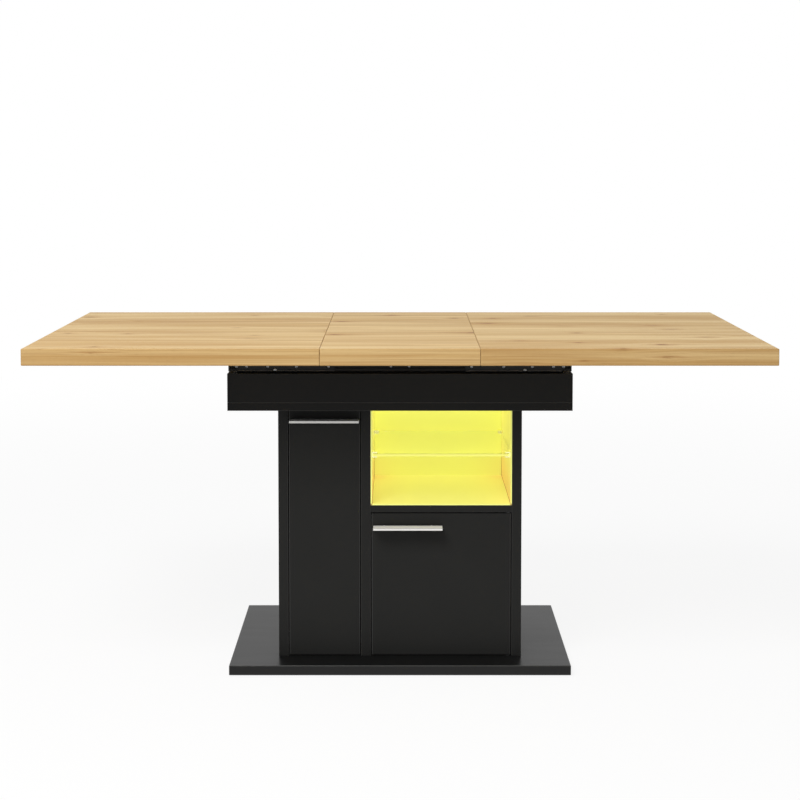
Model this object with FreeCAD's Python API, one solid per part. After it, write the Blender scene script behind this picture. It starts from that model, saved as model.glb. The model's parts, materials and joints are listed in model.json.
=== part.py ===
"""Extending kitchen table on a storage cabinet.

Units are millimetres and +Z is up. The origin is on the floor, under the middle of
the table. +X runs along the table to the right, and the cabinet's doors face -Y.
Every sub-part is its own solid, or a group of equal solids, in a STEP file named after it.
"""
import FreeCAD, Part

import os

Vector = FreeCAD.Vector
ORIGIN = Vector(0, 0, 0)
X_AXIS = Vector(1, 0, 0)
Y_AXIS = Vector(0, 1, 0)
Z_AXIS = Vector(0, 0, 1)

# Tests that pick edges and faces
near = 0.1  # from an edge's midpoint to the plane that it has to be on
same_place = 1e-6

# --------------------------------------------------------------------------------------
# Driving dimensions: table top
# --------------------------------------------------------------------------------------
table_length = 1600.0  # both halves with the leaf between them
table_depth = 800.0
table_height = 750.0
top_thickness = 36.0
leaf_length = 340.0
seam_gap = 0.6  # between the leaf and each half
top_edge_radius = 2.0
seam_chamfer = 0.8

# Driving dimensions: base
base_length = 760.0
base_depth = 500.0
base_thickness = 22.0
base_edge_radius = 1.5
glide_height = 3.0
glide_radius = 15.0
glide_inset = 32.0  # from the base's edges to a glide's centre

# Driving dimensions: cabinet carcass
cabinet_width = 548.0
cabinet_depth = 350.0
panel_thickness = 22.0
panel_edge_radius = 1.0
left_bay_width = 164.0
niche_height = 226.0
niche_floor_thickness = 16.0
back_thickness = 6.0
back_rabbet_depth = 16.0  # how far the back panel is let into each side panel
hole_clearance = 0.1  # around a screw, an inlet or a bush in its own board

# Driving dimensions: inner shelf of the low cupboard
inner_shelf_thickness = 16.0
inner_shelf_gap = 1.0
inner_shelf_level = 185.0  # height of the pins that carry it
inner_shelf_front_setback = 8.0
pin_radius = 2.5
pin_depth = 10.0
pin_reach = 7.0
pin_row_inset = 37.0
pin_pitch = 32.0
pin_rows_each_way = 1  # spare holes above and below the shelf

# Driving dimensions: pull-out of the narrow bay
pullout_travel = 220.0
pullout_back_gap = 5.0  # from its rear to the cabinet's back
pullout_board = 12.0
pullout_floor_gap = 12.0  # from the base up to its sides
pullout_side_height = 50.0
pullout_floor_rise = 6.0
pullout_middle_level = 205.0  # above the base
pullout_upper_level = 395.0
pullout_back_height = 470.0
pullout_shelf_inset = 2.0
pullout_rod_radius = 3.0
pullout_rod_rise = 60.0  # above each floor
channel_width = 10.0
channel_height = 24.0
channel_sheet = 1.5
channel_lip = 5.0
channel_front_gap = 2.0
channel_length = 318.0
channel_side_gap = 2.0  # from its lips to the pull-out's side
channel_cap = 2.0

# Driving dimensions: niche lining, glass shelf and light
lining_thickness = 2.5
glass_thickness = 6.0
glass_level = 479.0  # underside of the glass
glass_side_gap = 2.0
glass_front_setback = 5.0
glass_back_gap = 18.0
glass_edge_radius = 0.8
clip_length = 16.0
clip_reach = 12.0
clip_jaw = 3.0
clip_inset = 14.0  # from the glass's front and back edges
clip_play = 0.3
light_width = 17.0
light_height = 8.0
light_wall = 1.2
light_end_gap = 6.0
light_back_gap = 9.0  # from the lined back to the light
strip_thickness = 1.2
diffuser_thickness = 1.6
inlet_radius = 5.5
inlet_flange_radius = 8.0
inlet_flange_height = 2.0
inlet_bore_radius = 2.8
inlet_bore_depth = 8.0
inlet_inset = 22.0  # from the right lining

# Driving dimensions: apron box
apron_floor_thickness = 18.0
apron_wall_height = 64.0
apron_wall_thickness = 18.0
apron_edge_radius = 1.0

# Driving dimensions: extension slides
runner_height = 34.0
runner_overhang = 8.0  # past the bearers' ends
runner_lift = 3.0  # from the apron walls up to the runners
runner_sheet = 2.0
runner_bend = 2.5
runner_reach = 26.0  # tongue past the seam, under the leaf
runner_flange = 24.0
runner_slant = 12.0
runner_stagger = 2.5  # the right half's runners pass outside the left half's
tongue_corner_radius = 6.0
tongue_drop = 0.3
bearer_thickness = 10.0
bearer_setback = 38.0  # from the base's front and back edges to a bearer
track_overhang = 16.0  # past the bearers, over the apron's ends
track_width = 12.0
track_sheet = 2.0
track_bend = 1.5
track_lip = 6.0
track_top_gap = 3.0
track_wall_gap = 2.0
track_cap_thickness = 2.0
runner_track_gap = 3.0  # between the track's lips and the left half's runners
slide_play = 0.3
slide_travel = 20.0  # how far a half pulls out to free the leaf
slide_end_play = 0.5
slider_inner_setback = 22.0  # from the seam to the slider's inner end
rub_pad_length = 18.0
rub_pad_inset = 4.0
rub_pad_margin = 3.0
lock_inset = 94.0  # from the runner's outer end to its lock screw
lock_radius = 2.0
lock_head_radius = 4.5
lock_head_height = 3.0
spare_hole_inset = 128.0
spare_hole_radius = 2.0

# Driving dimensions: locators that carry the leaf on the bearers
locator_length = 24.0
locator_place = 120.0
locator_lug = 14.0
locator_lug_thickness = 5.5
locator_play = 0.5
locator_edge_radius = 0.8

# Driving dimensions: door and pull-out front
door_thickness = 16.0
door_side_gap = 2.0
door_end_gap = 2.5
door_edge_radius = 2.0
pivot_inset = 6.0  # from the hinge edge and from the front face
pivot_radius = 2.5
pivot_play = 0.05
pivot_length = 9.0
pivot_collar_radius = 4.0
pivot_collar_gap = 0.3
pivot_plate_length = 36.0
pivot_plate_width = 9.0
pivot_plate_thickness = 2.0
bush_radius = 4.0
bush_flange_radius = 6.0
bush_flange_height = 1.0
bush_length = 11.0

# Driving dimensions: handles
handle_length = 155.0
handle_depth = 26.0
handle_standoff = 6.0  # from a front's face to its handle's flange
handle_sheet = 2.0
handle_lip = 5.5
handle_flange = 9.5
handle_bend = 1.0
handle_drop = 26.5  # from a front's top edge to its handle's top
handle_right_inset = 4.0  # from the right door's free edge
boss_pitch = 107.0
boss_radius = 4.0

# Driving dimensions: magnetic catch
catch_width = 15.0
catch_depth = 14.0
catch_height = 46.0
catch_edge_radius = 2.0
catch_drop = 12.0  # below the board over the door
catch_gap = 0.3
strike_width = 10.0
strike_height = 38.0
strike_thickness = 1.5
strike_shift = 2.0

# --------------------------------------------------------------------------------------
# Levels and planes that follow from the driving dimensions
# --------------------------------------------------------------------------------------
top_under = table_height - top_thickness
apron_wall_top = top_under - runner_height - runner_lift
apron_floor_top = apron_wall_top - apron_wall_height
cabinet_top = apron_floor_top - apron_floor_thickness
base_top = glide_height + base_thickness
niche_floor_top = cabinet_top - niche_height
niche_floor_under = niche_floor_top - niche_floor_thickness

cabinet_front = -cabinet_depth / 2
cabinet_back = cabinet_depth / 2
back_front = cabinet_back - back_thickness
left_outside = -cabinet_width / 2
left_inside = left_outside + panel_thickness
divider_left = left_inside + left_bay_width
divider_right = divider_left + panel_thickness
right_outside = cabinet_width / 2
right_inside = right_outside - panel_thickness

lined_left = divider_right + lining_thickness
lined_right = right_inside - lining_thickness
lined_back = back_front - lining_thickness
lined_top = cabinet_top - lining_thickness
lined_floor = niche_floor_top + lining_thickness

door_back = cabinet_front + door_thickness
fronts_bottom = base_top + door_end_gap
pivot_y = cabinet_front + pivot_inset

bearer_half_length = base_length / 2 - apron_wall_thickness
track_half_length = bearer_half_length + track_overhang
runner_outer_end = bearer_half_length + runner_overhang
lock_place = runner_outer_end - lock_inset
spare_hole_place = runner_outer_end - spare_hole_inset
slider_inner_end = leaf_length / 2 + slider_inner_setback
bearer_outside = base_depth / 2 - bearer_setback
bearer_inset = bearer_outside - bearer_thickness
track_outside = bearer_outside + track_width
track_top = top_under - track_top_gap
track_bottom = apron_wall_top + track_wall_gap
track_height = track_top - track_bottom
runner_inside = track_outside + runner_track_gap
runner_bottom = top_under - runner_height
lock_level = track_bottom + track_lip - lock_radius
seam_place = leaf_length / 2
half_inner_end = seam_place + seam_gap / 2
leaf_end = seam_place - seam_gap / 2


# --------------------------------------------------------------------------------------
# Shape helpers
# --------------------------------------------------------------------------------------
def block(x_low, x_high, y_low, y_high, z_low, z_high):
    """Return a box between two opposite corners."""
    corner = Vector(x_low, y_low, z_low)
    return Part.makeBox(x_high - x_low, y_high - y_low, z_high - z_low, corner)


def rod(radius, start, direction, length):
    """Return a round bar that starts at a point and runs along a direction."""
    return Part.makeCylinder(radius, length, start, direction)


def extruded(points, path):
    """Return the solid that a closed outline of points sweeps along a straight path."""
    outline = Part.makePolygon(points + [points[0]])
    return Part.Face(outline).extrude(path)


def revolved(profile, foot, direction):
    """Return a turned solid from (radius, height) pairs, standing on foot along direction."""
    points = [Vector(radius, 0, height) for radius, height in profile]
    outline = Part.makePolygon(points + [points[0]])
    solid = Part.Face(outline).revolve(ORIGIN, Z_AXIS, 360)
    solid.Placement = FreeCAD.Placement(foot, FreeCAD.Rotation(Z_AXIS, direction))
    return solid


def edges_along(shape, axis, keep=None):
    """Return the straight edges parallel to an axis whose midpoints pass the keep test."""
    found = []
    for edge in shape.Edges:
        if not isinstance(edge.Curve, Part.Line):
            continue
        start = edge.firstVertex().Point
        end = edge.lastVertex().Point
        if (end - start).normalize().cross(axis).Length > same_place:
            continue
        if keep is None or keep((start + end) * 0.5):
            found.append(edge)
    return found


def end_face_edges(shape, x_place):
    """Return the edges round the flat face that closes a shape at one x."""
    found = []
    for face in shape.Faces:
        box = face.BoundBox
        if abs(box.XMin - x_place) < same_place and abs(box.XMax - x_place) < same_place:
            found.extend(face.Edges)
    return found


def softened(shape, radius, axis):
    """Return a solid with its straight edges along one axis rounded."""
    return shape.makeFillet(radius, edges_along(shape, axis))


def mirrored_x(shape):
    """Return the shape's mirror image on the other side of the table's middle."""
    return shape.mirror(ORIGIN, X_AXIS)


def mirrored_y(shape):
    """Return the shape's mirror image at the back of the table."""
    return shape.mirror(ORIGIN, Y_AXIS)


def group(shapes):
    """Return several solids that are one sub-part."""
    return Part.makeCompound(shapes)


# --------------------------------------------------------------------------------------
# Base
# --------------------------------------------------------------------------------------
def make_base():
    """Return the base board and its glides."""
    half_length = base_length / 2
    half_depth = base_depth / 2
    board = block(-half_length, half_length, -half_depth, half_depth, glide_height, base_top)
    board = board.makeFillet(base_edge_radius, board.Edges)
    glides = []
    for x in (-half_length + glide_inset, 0, half_length - glide_inset):
        for y in (-half_depth + glide_inset, half_depth - glide_inset):
            glides.append(rod(glide_radius, Vector(x, y, 0), Z_AXIS, glide_height))
    return {"base_board": board.cut(bush_holes()), "base_glides": group(glides)}


# --------------------------------------------------------------------------------------
# Cabinet carcass
# --------------------------------------------------------------------------------------
def pin_places():
    """Return the y of the two rows of shelf pins."""
    return [door_back + pin_row_inset, back_front - pin_row_inset]


def pin_holes():
    """Return the holes for shelf pins in both walls of the low cupboard."""
    holes = []
    for y in pin_places():
        for step in range(-pin_rows_each_way, pin_rows_each_way + 1):
            z = inner_shelf_level + step * pin_pitch
            holes.append(rod(pin_radius, Vector(divider_right, y, z), -X_AXIS, pin_depth))
            holes.append(rod(pin_radius, Vector(right_inside, y, z), X_AXIS, pin_depth))
    return holes


def upright(x_low, x_high, y_high):
    """Return an upright panel with rounded front edges."""
    panel = block(x_low, x_high, cabinet_front, y_high, base_top, cabinet_top)
    front = edges_along(panel, Z_AXIS, lambda middle: middle.y < 0)
    return panel.makeFillet(panel_edge_radius, front)


def make_carcass():
    """Return the cabinet's panels, its back and the niche floor."""
    back_left = left_inside - back_rabbet_depth
    back_right = right_inside + back_rabbet_depth
    back = block(back_left, back_right, back_front, cabinet_back, base_top, cabinet_top)
    inlet_hole = rod(inlet_radius + hole_clearance, inlet_start(), Y_AXIS, cabinet_back)
    floor = block(
        divider_right, right_inside, cabinet_front, back_front, niche_floor_under, niche_floor_top
    )
    floor_front = edges_along(floor, X_AXIS, lambda middle: middle.y < 0)
    floor = floor.makeFillet(panel_edge_radius, floor_front)
    left = upright(left_outside, left_inside, cabinet_back)
    divider = upright(divider_left, divider_right, back_front)
    right = upright(right_inside, right_outside, cabinet_back)
    return {
        "side_panel_left": left.cut(back),
        "divider_panel": divider.cut(pin_holes()),
        "side_panel_right": right.cut([back] + pin_holes()),
        "back_panel": back.cut(inlet_hole),
        "niche_floor": floor.cut(bush_holes()),
    }


def make_inner_shelf():
    """Return the low cupboard's shelf and the four pins that carry it."""
    shelf_bottom = inner_shelf_level + pin_radius
    shelf = softened(
        block(
            divider_right + inner_shelf_gap,
            right_inside - inner_shelf_gap,
            door_back + inner_shelf_front_setback,
            back_front - inner_shelf_gap,
            shelf_bottom,
            shelf_bottom + inner_shelf_thickness,
        ),
        panel_edge_radius,
        X_AXIS,
    )
    pins = []
    for y in pin_places():
        left_start = Vector(divider_right - pin_depth, y, inner_shelf_level)
        right_start = Vector(right_inside + pin_depth, y, inner_shelf_level)
        pins.append(rod(pin_radius, left_start, X_AXIS, pin_depth + pin_reach))
        pins.append(rod(pin_radius, right_start, -X_AXIS, pin_depth + pin_reach))
    return {"inner_shelf": shelf, "shelf_pins": group(pins)}


# --------------------------------------------------------------------------------------
# Niche: lining, glass shelf and light
# --------------------------------------------------------------------------------------
def inlet_start():
    """Return where the light's power inlet meets the light."""
    level = lined_top - light_height / 2 - inlet_radius / 2
    return Vector(lined_right - inlet_inset, lined_back - light_back_gap, level)


def make_lining():
    """Return the coloured panels that line the niche."""
    front = cabinet_front + panel_edge_radius
    back = block(divider_right, right_inside, lined_back, back_front, niche_floor_top, cabinet_top)
    inlet_hole = rod(inlet_radius + hole_clearance, inlet_start(), Y_AXIS, cabinet_back)
    left = block(divider_right, lined_left, front, lined_back, lined_floor, lined_top)
    right = block(lined_right, right_inside, front, lined_back, lined_floor, lined_top)
    floor = block(
        divider_right, right_inside, front, lined_back, niche_floor_top, lined_floor
    )
    ceiling = block(divider_right, right_inside, front, lined_back, lined_top, cabinet_top)
    return {
        "niche_lining_back": back.cut(inlet_hole),
        "niche_lining_left": left,
        "niche_lining_right": right,
        "niche_lining_floor": floor,
        "niche_lining_ceiling": ceiling,
    }


def glass_clip(wall_x, inward, middle_y):
    """Return one clip that grips the glass shelf's end from a wall of the niche."""
    outline = [
        (0, -clip_jaw - clip_play),
        (clip_reach, -clip_jaw - clip_play),
        (clip_reach, -clip_play),
        (glass_side_gap - clip_play, -clip_play),
        (glass_side_gap - clip_play, glass_thickness + clip_play),
        (clip_reach, glass_thickness + clip_play),
        (clip_reach, glass_thickness + clip_play + clip_jaw),
        (0, glass_thickness + clip_play + clip_jaw),
    ]
    y_low = middle_y - clip_length / 2
    points = [Vector(wall_x + inward * x, y_low, glass_level + z) for x, z in outline]
    return extruded(points, Vector(0, clip_length, 0))


def make_glass_shelf():
    """Return the niche's glass shelf and its four clips."""
    y_low = cabinet_front + glass_front_setback
    y_high = lined_back - glass_back_gap
    glass = softened(
        block(
            lined_left + glass_side_gap,
            lined_right - glass_side_gap,
            y_low,
            y_high,
            glass_level,
            glass_level + glass_thickness,
        ),
        glass_edge_radius,
        X_AXIS,
    )
    clips = []
    for y in (y_low + clip_inset, y_high - clip_inset):
        clips.append(glass_clip(lined_left, 1, y))
        clips.append(glass_clip(lined_right, -1, y))
    return {"glass_shelf": glass, "glass_shelf_clips": group(clips)}


def make_light():
    """Return the strip light under the niche's ceiling and its power inlet."""
    x_low = lined_left + light_end_gap
    x_high = lined_right - light_end_gap
    y_high = lined_back - light_back_gap
    y_low = y_high - light_width
    bottom = lined_top - light_height
    outline = [
        (y_low, bottom),
        (y_low + light_wall, bottom),
        (y_low + light_wall, lined_top - light_wall),
        (y_high - light_wall, lined_top - light_wall),
        (y_high - light_wall, bottom),
        (y_high, bottom),
        (y_high, lined_top),
        (y_low, lined_top),
    ]
    length = Vector(x_high - x_low, 0, 0)
    profile = extruded([Vector(x_low, y, z) for y, z in outline], length)
    strip_top = lined_top - light_wall
    strip = block(
        x_low,
        x_high,
        y_low + 2 * light_wall,
        y_high - 2 * light_wall,
        strip_top - strip_thickness,
        strip_top,
    )
    diffuser = block(
        x_low, x_high, y_low + light_wall, y_high - light_wall, bottom, bottom + diffuser_thickness
    )
    start = inlet_start()
    flange_start = Vector(start.x, cabinet_back, start.z)
    barrel_length = cabinet_back + inlet_flange_height - start.y
    inlet = rod(inlet_radius, start, Y_AXIS, barrel_length)
    inlet = inlet.fuse(rod(inlet_flange_radius, flange_start, Y_AXIS, inlet_flange_height))
    mouth = Vector(start.x, cabinet_back + inlet_flange_height, start.z)
    inlet = inlet.cut(rod(inlet_bore_radius, mouth, -Y_AXIS, inlet_bore_depth))
    return {
        "light_profile": profile,
        "light_strip": strip,
        "light_diffuser": diffuser,
        "power_inlet": inlet,
    }


# --------------------------------------------------------------------------------------
# Apron box
# --------------------------------------------------------------------------------------
def make_apron():
    """Return the open box under the table top."""
    half_length = base_length / 2
    half_depth = base_depth / 2
    floor = softened(
        block(-half_length, half_length, -half_depth, half_depth, cabinet_top, apron_floor_top),
        apron_edge_radius,
        X_AXIS,
    )
    front = softened(
        block(
            -half_length,
            half_length,
            -half_depth,
            -half_depth + apron_wall_thickness,
            apron_floor_top,
            apron_wall_top,
        ),
        apron_edge_radius,
        X_AXIS,
    )
    end_depth = half_depth - apron_wall_thickness
    end = softened(
        block(
            -half_length,
            -half_length + apron_wall_thickness,
            -end_depth,
            end_depth,
            apron_floor_top,
            apron_wall_top,
        ),
        apron_edge_radius,
        Y_AXIS,
    )
    return {
        "apron_floor": floor,
        "apron_front": front,
        "apron_back": mirrored_y(front),
        "apron_end_left": end,
        "apron_end_right": mirrored_x(end),
    }


# --------------------------------------------------------------------------------------
# Channel slides, shared by the table top and the pull-out. Their sections are drawn as
# (out, up) pairs: out from the board that carries the channel, up from its lower edge.
# --------------------------------------------------------------------------------------
def channel_section(width, height, sheet, lip):
    """Return the outline of a lipped channel that opens away from its board."""
    return [
        (0, 0),
        (width, 0),
        (width, lip),
        (width - sheet, lip),
        (width - sheet, sheet),
        (sheet, sheet),
        (sheet, height - sheet),
        (width - sheet, height - sheet),
        (width - sheet, height - lip),
        (width, height - lip),
        (width, height),
        (0, height),
    ]


def slider_section(width, height, sheet, lip, neck_end):
    """Return the outline of the nylon slider in that channel, with its neck out of the slot."""
    bar_low = sheet + slide_play
    neck_low = lip + slide_play
    bar_end = width - sheet - slide_play
    return [
        (bar_low, bar_low),
        (bar_end, bar_low),
        (bar_end, neck_low),
        (neck_end, neck_low),
        (neck_end, height - neck_low),
        (bar_end, height - neck_low),
        (bar_end, height - bar_low),
        (bar_low, height - bar_low),
    ]


# --------------------------------------------------------------------------------------
# Extension slides: fixed tracks
# --------------------------------------------------------------------------------------
def make_tracks():
    """Return the bearers in the apron box and the channel tracks screwed to them."""
    bearer = block(
        -bearer_half_length,
        bearer_half_length,
        -bearer_outside,
        -bearer_inset,
        apron_floor_top,
        track_top,
    )
    section = channel_section(track_width, track_height, track_sheet, track_lip)
    points = [
        Vector(-track_half_length, -bearer_outside - out, track_bottom + up) for out, up in section
    ]
    track = extruded(points, Vector(2 * track_half_length, 0, 0))
    outer_bends = edges_along(
        track,
        X_AXIS,
        lambda middle: middle.y < -track_outside + near
        and (middle.z < track_bottom + near or middle.z > track_top - near),
    )
    track = track.makeFillet(track_bend, outer_bends)
    caps = []
    for x_low in (-track_half_length - track_cap_thickness, track_half_length):
        cap = block(
            x_low,
            x_low + track_cap_thickness,
            -track_outside,
            -bearer_outside,
            track_bottom,
            track_top,
        )
        caps.append(cap)
        caps.append(mirrored_y(cap))
    return {
        "bearer_front": bearer,
        "bearer_back": mirrored_y(bearer),
        "track_front": track,
        "track_back": mirrored_y(track),
        "track_end_caps": group(caps),
    }


# --------------------------------------------------------------------------------------
# Extension slides: runners, drawn for the front of the left half
# --------------------------------------------------------------------------------------
def runner_faces(stagger):
    """Return y of a front runner's inner and outer face."""
    inner = -runner_inside - stagger
    return inner, inner - runner_sheet


def make_runner(stagger):
    """Return the angle runner that carries one half and reaches under the leaf."""
    inner, outer = runner_faces(stagger)
    flange_edge = outer - runner_flange
    outline = [
        (inner, runner_bottom),
        (inner, top_under),
        (flange_edge, top_under),
        (flange_edge, top_under - runner_sheet),
        (outer, top_under - runner_sheet),
        (outer, runner_bottom),
    ]
    points = [Vector(-runner_outer_end, y, z) for y, z in outline]
    angle = extruded(points, Vector(runner_outer_end - half_inner_end, 0, 0))
    bend = edges_along(
        angle, X_AXIS, lambda middle: middle.y > inner - near and middle.z > top_under - near
    )
    angle = angle.makeFillet(runner_bend, bend)
    tongue_end = -half_inner_end + runner_reach
    tongue = block(
        -half_inner_end, tongue_end, outer, inner, runner_bottom, top_under - tongue_drop
    )
    corner = edges_along(
        tongue,
        Y_AXIS,
        lambda middle: middle.x > tongue_end - near and middle.z < runner_bottom + near,
    )
    tongue = tongue.makeFillet(tongue_corner_radius, corner)
    runner = angle.fuse(tongue)
    slant = [
        Vector(-runner_outer_end, flange_edge, top_under - runner_sheet),
        Vector(-runner_outer_end, flange_edge, runner_bottom),
        Vector(-runner_outer_end + runner_slant, flange_edge, runner_bottom),
    ]
    runner = runner.cut(extruded(slant, Vector(0, inner - flange_edge, 0)))
    lock_start = Vector(-lock_place, flange_edge, lock_level)
    spare_start = Vector(-spare_hole_place, flange_edge, lock_level)
    lock_hole = rod(lock_radius + hole_clearance, lock_start, Y_AXIS, runner_inside)
    spare_hole = rod(spare_hole_radius, spare_start, Y_AXIS, runner_inside)
    return runner.cut([lock_hole, spare_hole]).removeSplitter()


def make_slider(stagger):
    """Return the nylon bar that rides in the track, with its neck out to the runner."""
    inner = runner_faces(stagger)[0]
    outer_end = -track_half_length + slide_travel + slide_end_play
    neck_end = -bearer_outside - inner
    section = slider_section(track_width, track_height, track_sheet, track_lip, neck_end)
    points = [Vector(outer_end, -bearer_outside - out, track_bottom + up) for out, up in section]
    return extruded(points, Vector(-slider_inner_end - outer_end, 0, 0))


def make_rub_pad(stagger):
    """Return the pad that keeps a tongue off the track's lips."""
    inner = runner_faces(stagger)[0]
    x_high = -half_inner_end + runner_reach - rub_pad_inset
    return block(
        x_high - rub_pad_length,
        x_high,
        inner,
        -track_outside - slide_play,
        track_bottom + rub_pad_margin,
        track_top - rub_pad_margin,
    )


def make_lock_screw(stagger):
    """Return the screw that clamps a runner to the lower lip of its track."""
    outer = runner_faces(stagger)[1]
    tip = -track_outside - slide_play
    profile = [
        (0, 0),
        (lock_head_radius, 0),
        (lock_head_radius, lock_head_height),
        (lock_radius, lock_head_height),
        (lock_radius, lock_head_height + tip - outer),
        (0, lock_head_height + tip - outer),
    ]
    foot = Vector(-lock_place, outer - lock_head_height, lock_level)
    return revolved(profile, foot, Y_AXIS)


def front_and_back(shape):
    """Return a front piece and its mirror image at the back as one sub-part."""
    return group([shape, mirrored_y(shape)])


# --------------------------------------------------------------------------------------
# Table top
# --------------------------------------------------------------------------------------
def make_half():
    """Return the left half of the top, with a fine chamfer round its seam face."""
    outer_end = -table_length / 2
    half = block(
        outer_end, -half_inner_end, -table_depth / 2, table_depth / 2, top_under, table_height
    )
    edges = edges_along(half, X_AXIS)
    edges += edges_along(half, Y_AXIS, lambda middle: middle.x < outer_end + near)
    edges += edges_along(half, Z_AXIS, lambda middle: middle.x < outer_end + near)
    half = half.makeFillet(top_edge_radius, edges)
    return half.makeChamfer(seam_chamfer, end_face_edges(half, -half_inner_end))


def make_leaf():
    """Return the loose leaf between the halves."""
    leaf = block(-leaf_end, leaf_end, -table_depth / 2, table_depth / 2, top_under, table_height)
    leaf = softened(leaf, top_edge_radius, X_AXIS)
    seam_edges = end_face_edges(leaf, -leaf_end) + end_face_edges(leaf, leaf_end)
    return leaf.makeChamfer(seam_chamfer, seam_edges)


def make_locators():
    """Return the blocks that seat the leaf on the bearers and centre it between them."""
    plate_edge = bearer_outside
    lug_outside = bearer_inset - locator_play
    lug_inside = lug_outside - locator_lug_thickness
    outline = [
        (-plate_edge, track_top),
        (-plate_edge, top_under),
        (-lug_inside, top_under),
        (-lug_inside, track_top - locator_lug),
        (-lug_outside, track_top - locator_lug),
        (-lug_outside, track_top),
    ]
    locators = []
    for middle in (-locator_place, locator_place):
        x_low = middle - locator_length / 2
        points = [Vector(x_low, y, z) for y, z in outline]
        locator = extruded(points, Vector(locator_length, 0, 0))
        lug_tip = edges_along(
            locator, X_AXIS, lambda centre: centre.z < track_top - locator_lug + near
        )
        locator = locator.makeFillet(locator_edge_radius, lug_tip)
        locators.append(locator)
        locators.append(mirrored_y(locator))
    return group(locators)


def make_table_top():
    """Return both halves of the top with their runners, and the leaf."""
    left_runner = make_runner(0)
    right_runner = make_runner(runner_stagger)
    left_sliders = front_and_back(make_slider(0))
    right_sliders = front_and_back(make_slider(runner_stagger))
    left_pads = front_and_back(make_rub_pad(0))
    right_pads = front_and_back(make_rub_pad(runner_stagger))
    left_locks = front_and_back(make_lock_screw(0))
    right_locks = front_and_back(make_lock_screw(runner_stagger))
    half = make_half()
    return {
        "top_left": half,
        "runner_left_front": left_runner,
        "runner_left_back": mirrored_y(left_runner),
        "sliders_left": left_sliders,
        "rub_pads_left": left_pads,
        "lock_screws_left": left_locks,
        "top_right": mirrored_x(half),
        "runner_right_front": mirrored_x(right_runner),
        "runner_right_back": mirrored_x(mirrored_y(right_runner)),
        "sliders_right": mirrored_x(right_sliders),
        "rub_pads_right": mirrored_x(right_pads),
        "lock_screws_right": mirrored_x(right_locks),
        "leaf": make_leaf(),
        "leaf_locators": make_locators(),
    }


# --------------------------------------------------------------------------------------
# Fronts: the pull-out's on the left, and a door with its hinge edge on the right
# --------------------------------------------------------------------------------------
pullout_face = {
    "x_low": left_inside + door_side_gap,
    "x_high": divider_left - door_side_gap,
    "top": cabinet_top - door_end_gap,
    "handle_x": (left_inside + divider_left) / 2,
}
door_face = {
    "x_low": divider_right + door_side_gap,
    "x_high": right_inside - door_side_gap,
    "top": niche_floor_under - door_end_gap,
    "handle_x": divider_right + door_side_gap + handle_right_inset + handle_length / 2,
}
pivot_x = door_face["x_high"] - pivot_inset


def bush(foot, direction):
    """Return one flanged pivot bush; direction points from the door into the board."""
    flange_start = foot - direction * bush_flange_height
    solid = rod(bush_radius, foot, direction, bush_length)
    solid = solid.fuse(rod(bush_flange_radius, flange_start, direction, bush_flange_height))
    reach = bush_flange_height + pivot_length + pivot_collar_gap
    return solid.cut(rod(pivot_radius + pivot_play, flange_start, direction, reach))


def bush_places():
    """Return the foot and direction of the bushes under and over the door."""
    below = Vector(pivot_x, pivot_y, base_top)
    above = Vector(pivot_x, pivot_y, niche_floor_under)
    return [(below, -Z_AXIS), (above, Z_AXIS)]


def bush_holes():
    """Return the plain cylinders that the bushes need in their boards."""
    radius = bush_radius + hole_clearance
    return [rod(radius, foot, direction, bush_length) for foot, direction in bush_places()]


def make_pivot(end, direction):
    """Return a pivot plate let into one end of the door, with its collar and pin."""
    x_low = pivot_x - pivot_plate_length
    x_high = pivot_x + pivot_inset / 2
    y_low = pivot_y - pivot_plate_width / 2
    z_ends = sorted([end, end - direction.z * pivot_plate_thickness])
    plate = block(x_low, x_high, y_low, y_low + pivot_plate_width, z_ends[0], z_ends[1])
    foot = Vector(pivot_x, pivot_y, end)
    collar_height = door_end_gap - bush_flange_height - pivot_collar_gap
    collar = rod(pivot_collar_radius, foot, direction, collar_height)
    pin_reach_out = door_end_gap + pivot_length - pivot_collar_gap
    pin = rod(pivot_radius, foot, direction, pin_reach_out)
    return plate.fuse([collar, pin]), plate


def make_handle(face):
    """Return the bent pull: a ledge with a front lip, and a flange on two bosses behind."""
    top = face["top"] - handle_drop
    back = cabinet_front - handle_standoff
    front = back - handle_depth
    x_low = face["handle_x"] - handle_length / 2
    outline = [
        (back, top - handle_flange),
        (back, top),
        (front, top),
        (front, top - handle_lip),
        (front + handle_sheet, top - handle_lip),
        (front + handle_sheet, top - handle_sheet),
        (back - handle_sheet, top - handle_sheet),
        (back - handle_sheet, top - handle_flange),
    ]
    points = [Vector(x_low, y, z) for y, z in outline]
    pull = extruded(points, Vector(handle_length, 0, 0))
    bends = edges_along(pull, X_AXIS, lambda middle: middle.z > top - near)
    pull = pull.makeFillet(handle_bend, bends)
    for shift in (-boss_pitch / 2, boss_pitch / 2):
        start = Vector(face["handle_x"] + shift, cabinet_front, top - handle_flange / 2)
        pull = pull.fuse(rod(boss_radius, start, -Y_AXIS, handle_standoff))
    return pull.removeSplitter()


def make_front(face):
    """Return the board of a front, with rounded upright edges."""
    board = block(
        face["x_low"], face["x_high"], cabinet_front, door_back, fronts_bottom, face["top"]
    )
    return softened(board, door_edge_radius, Z_AXIS)


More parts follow.
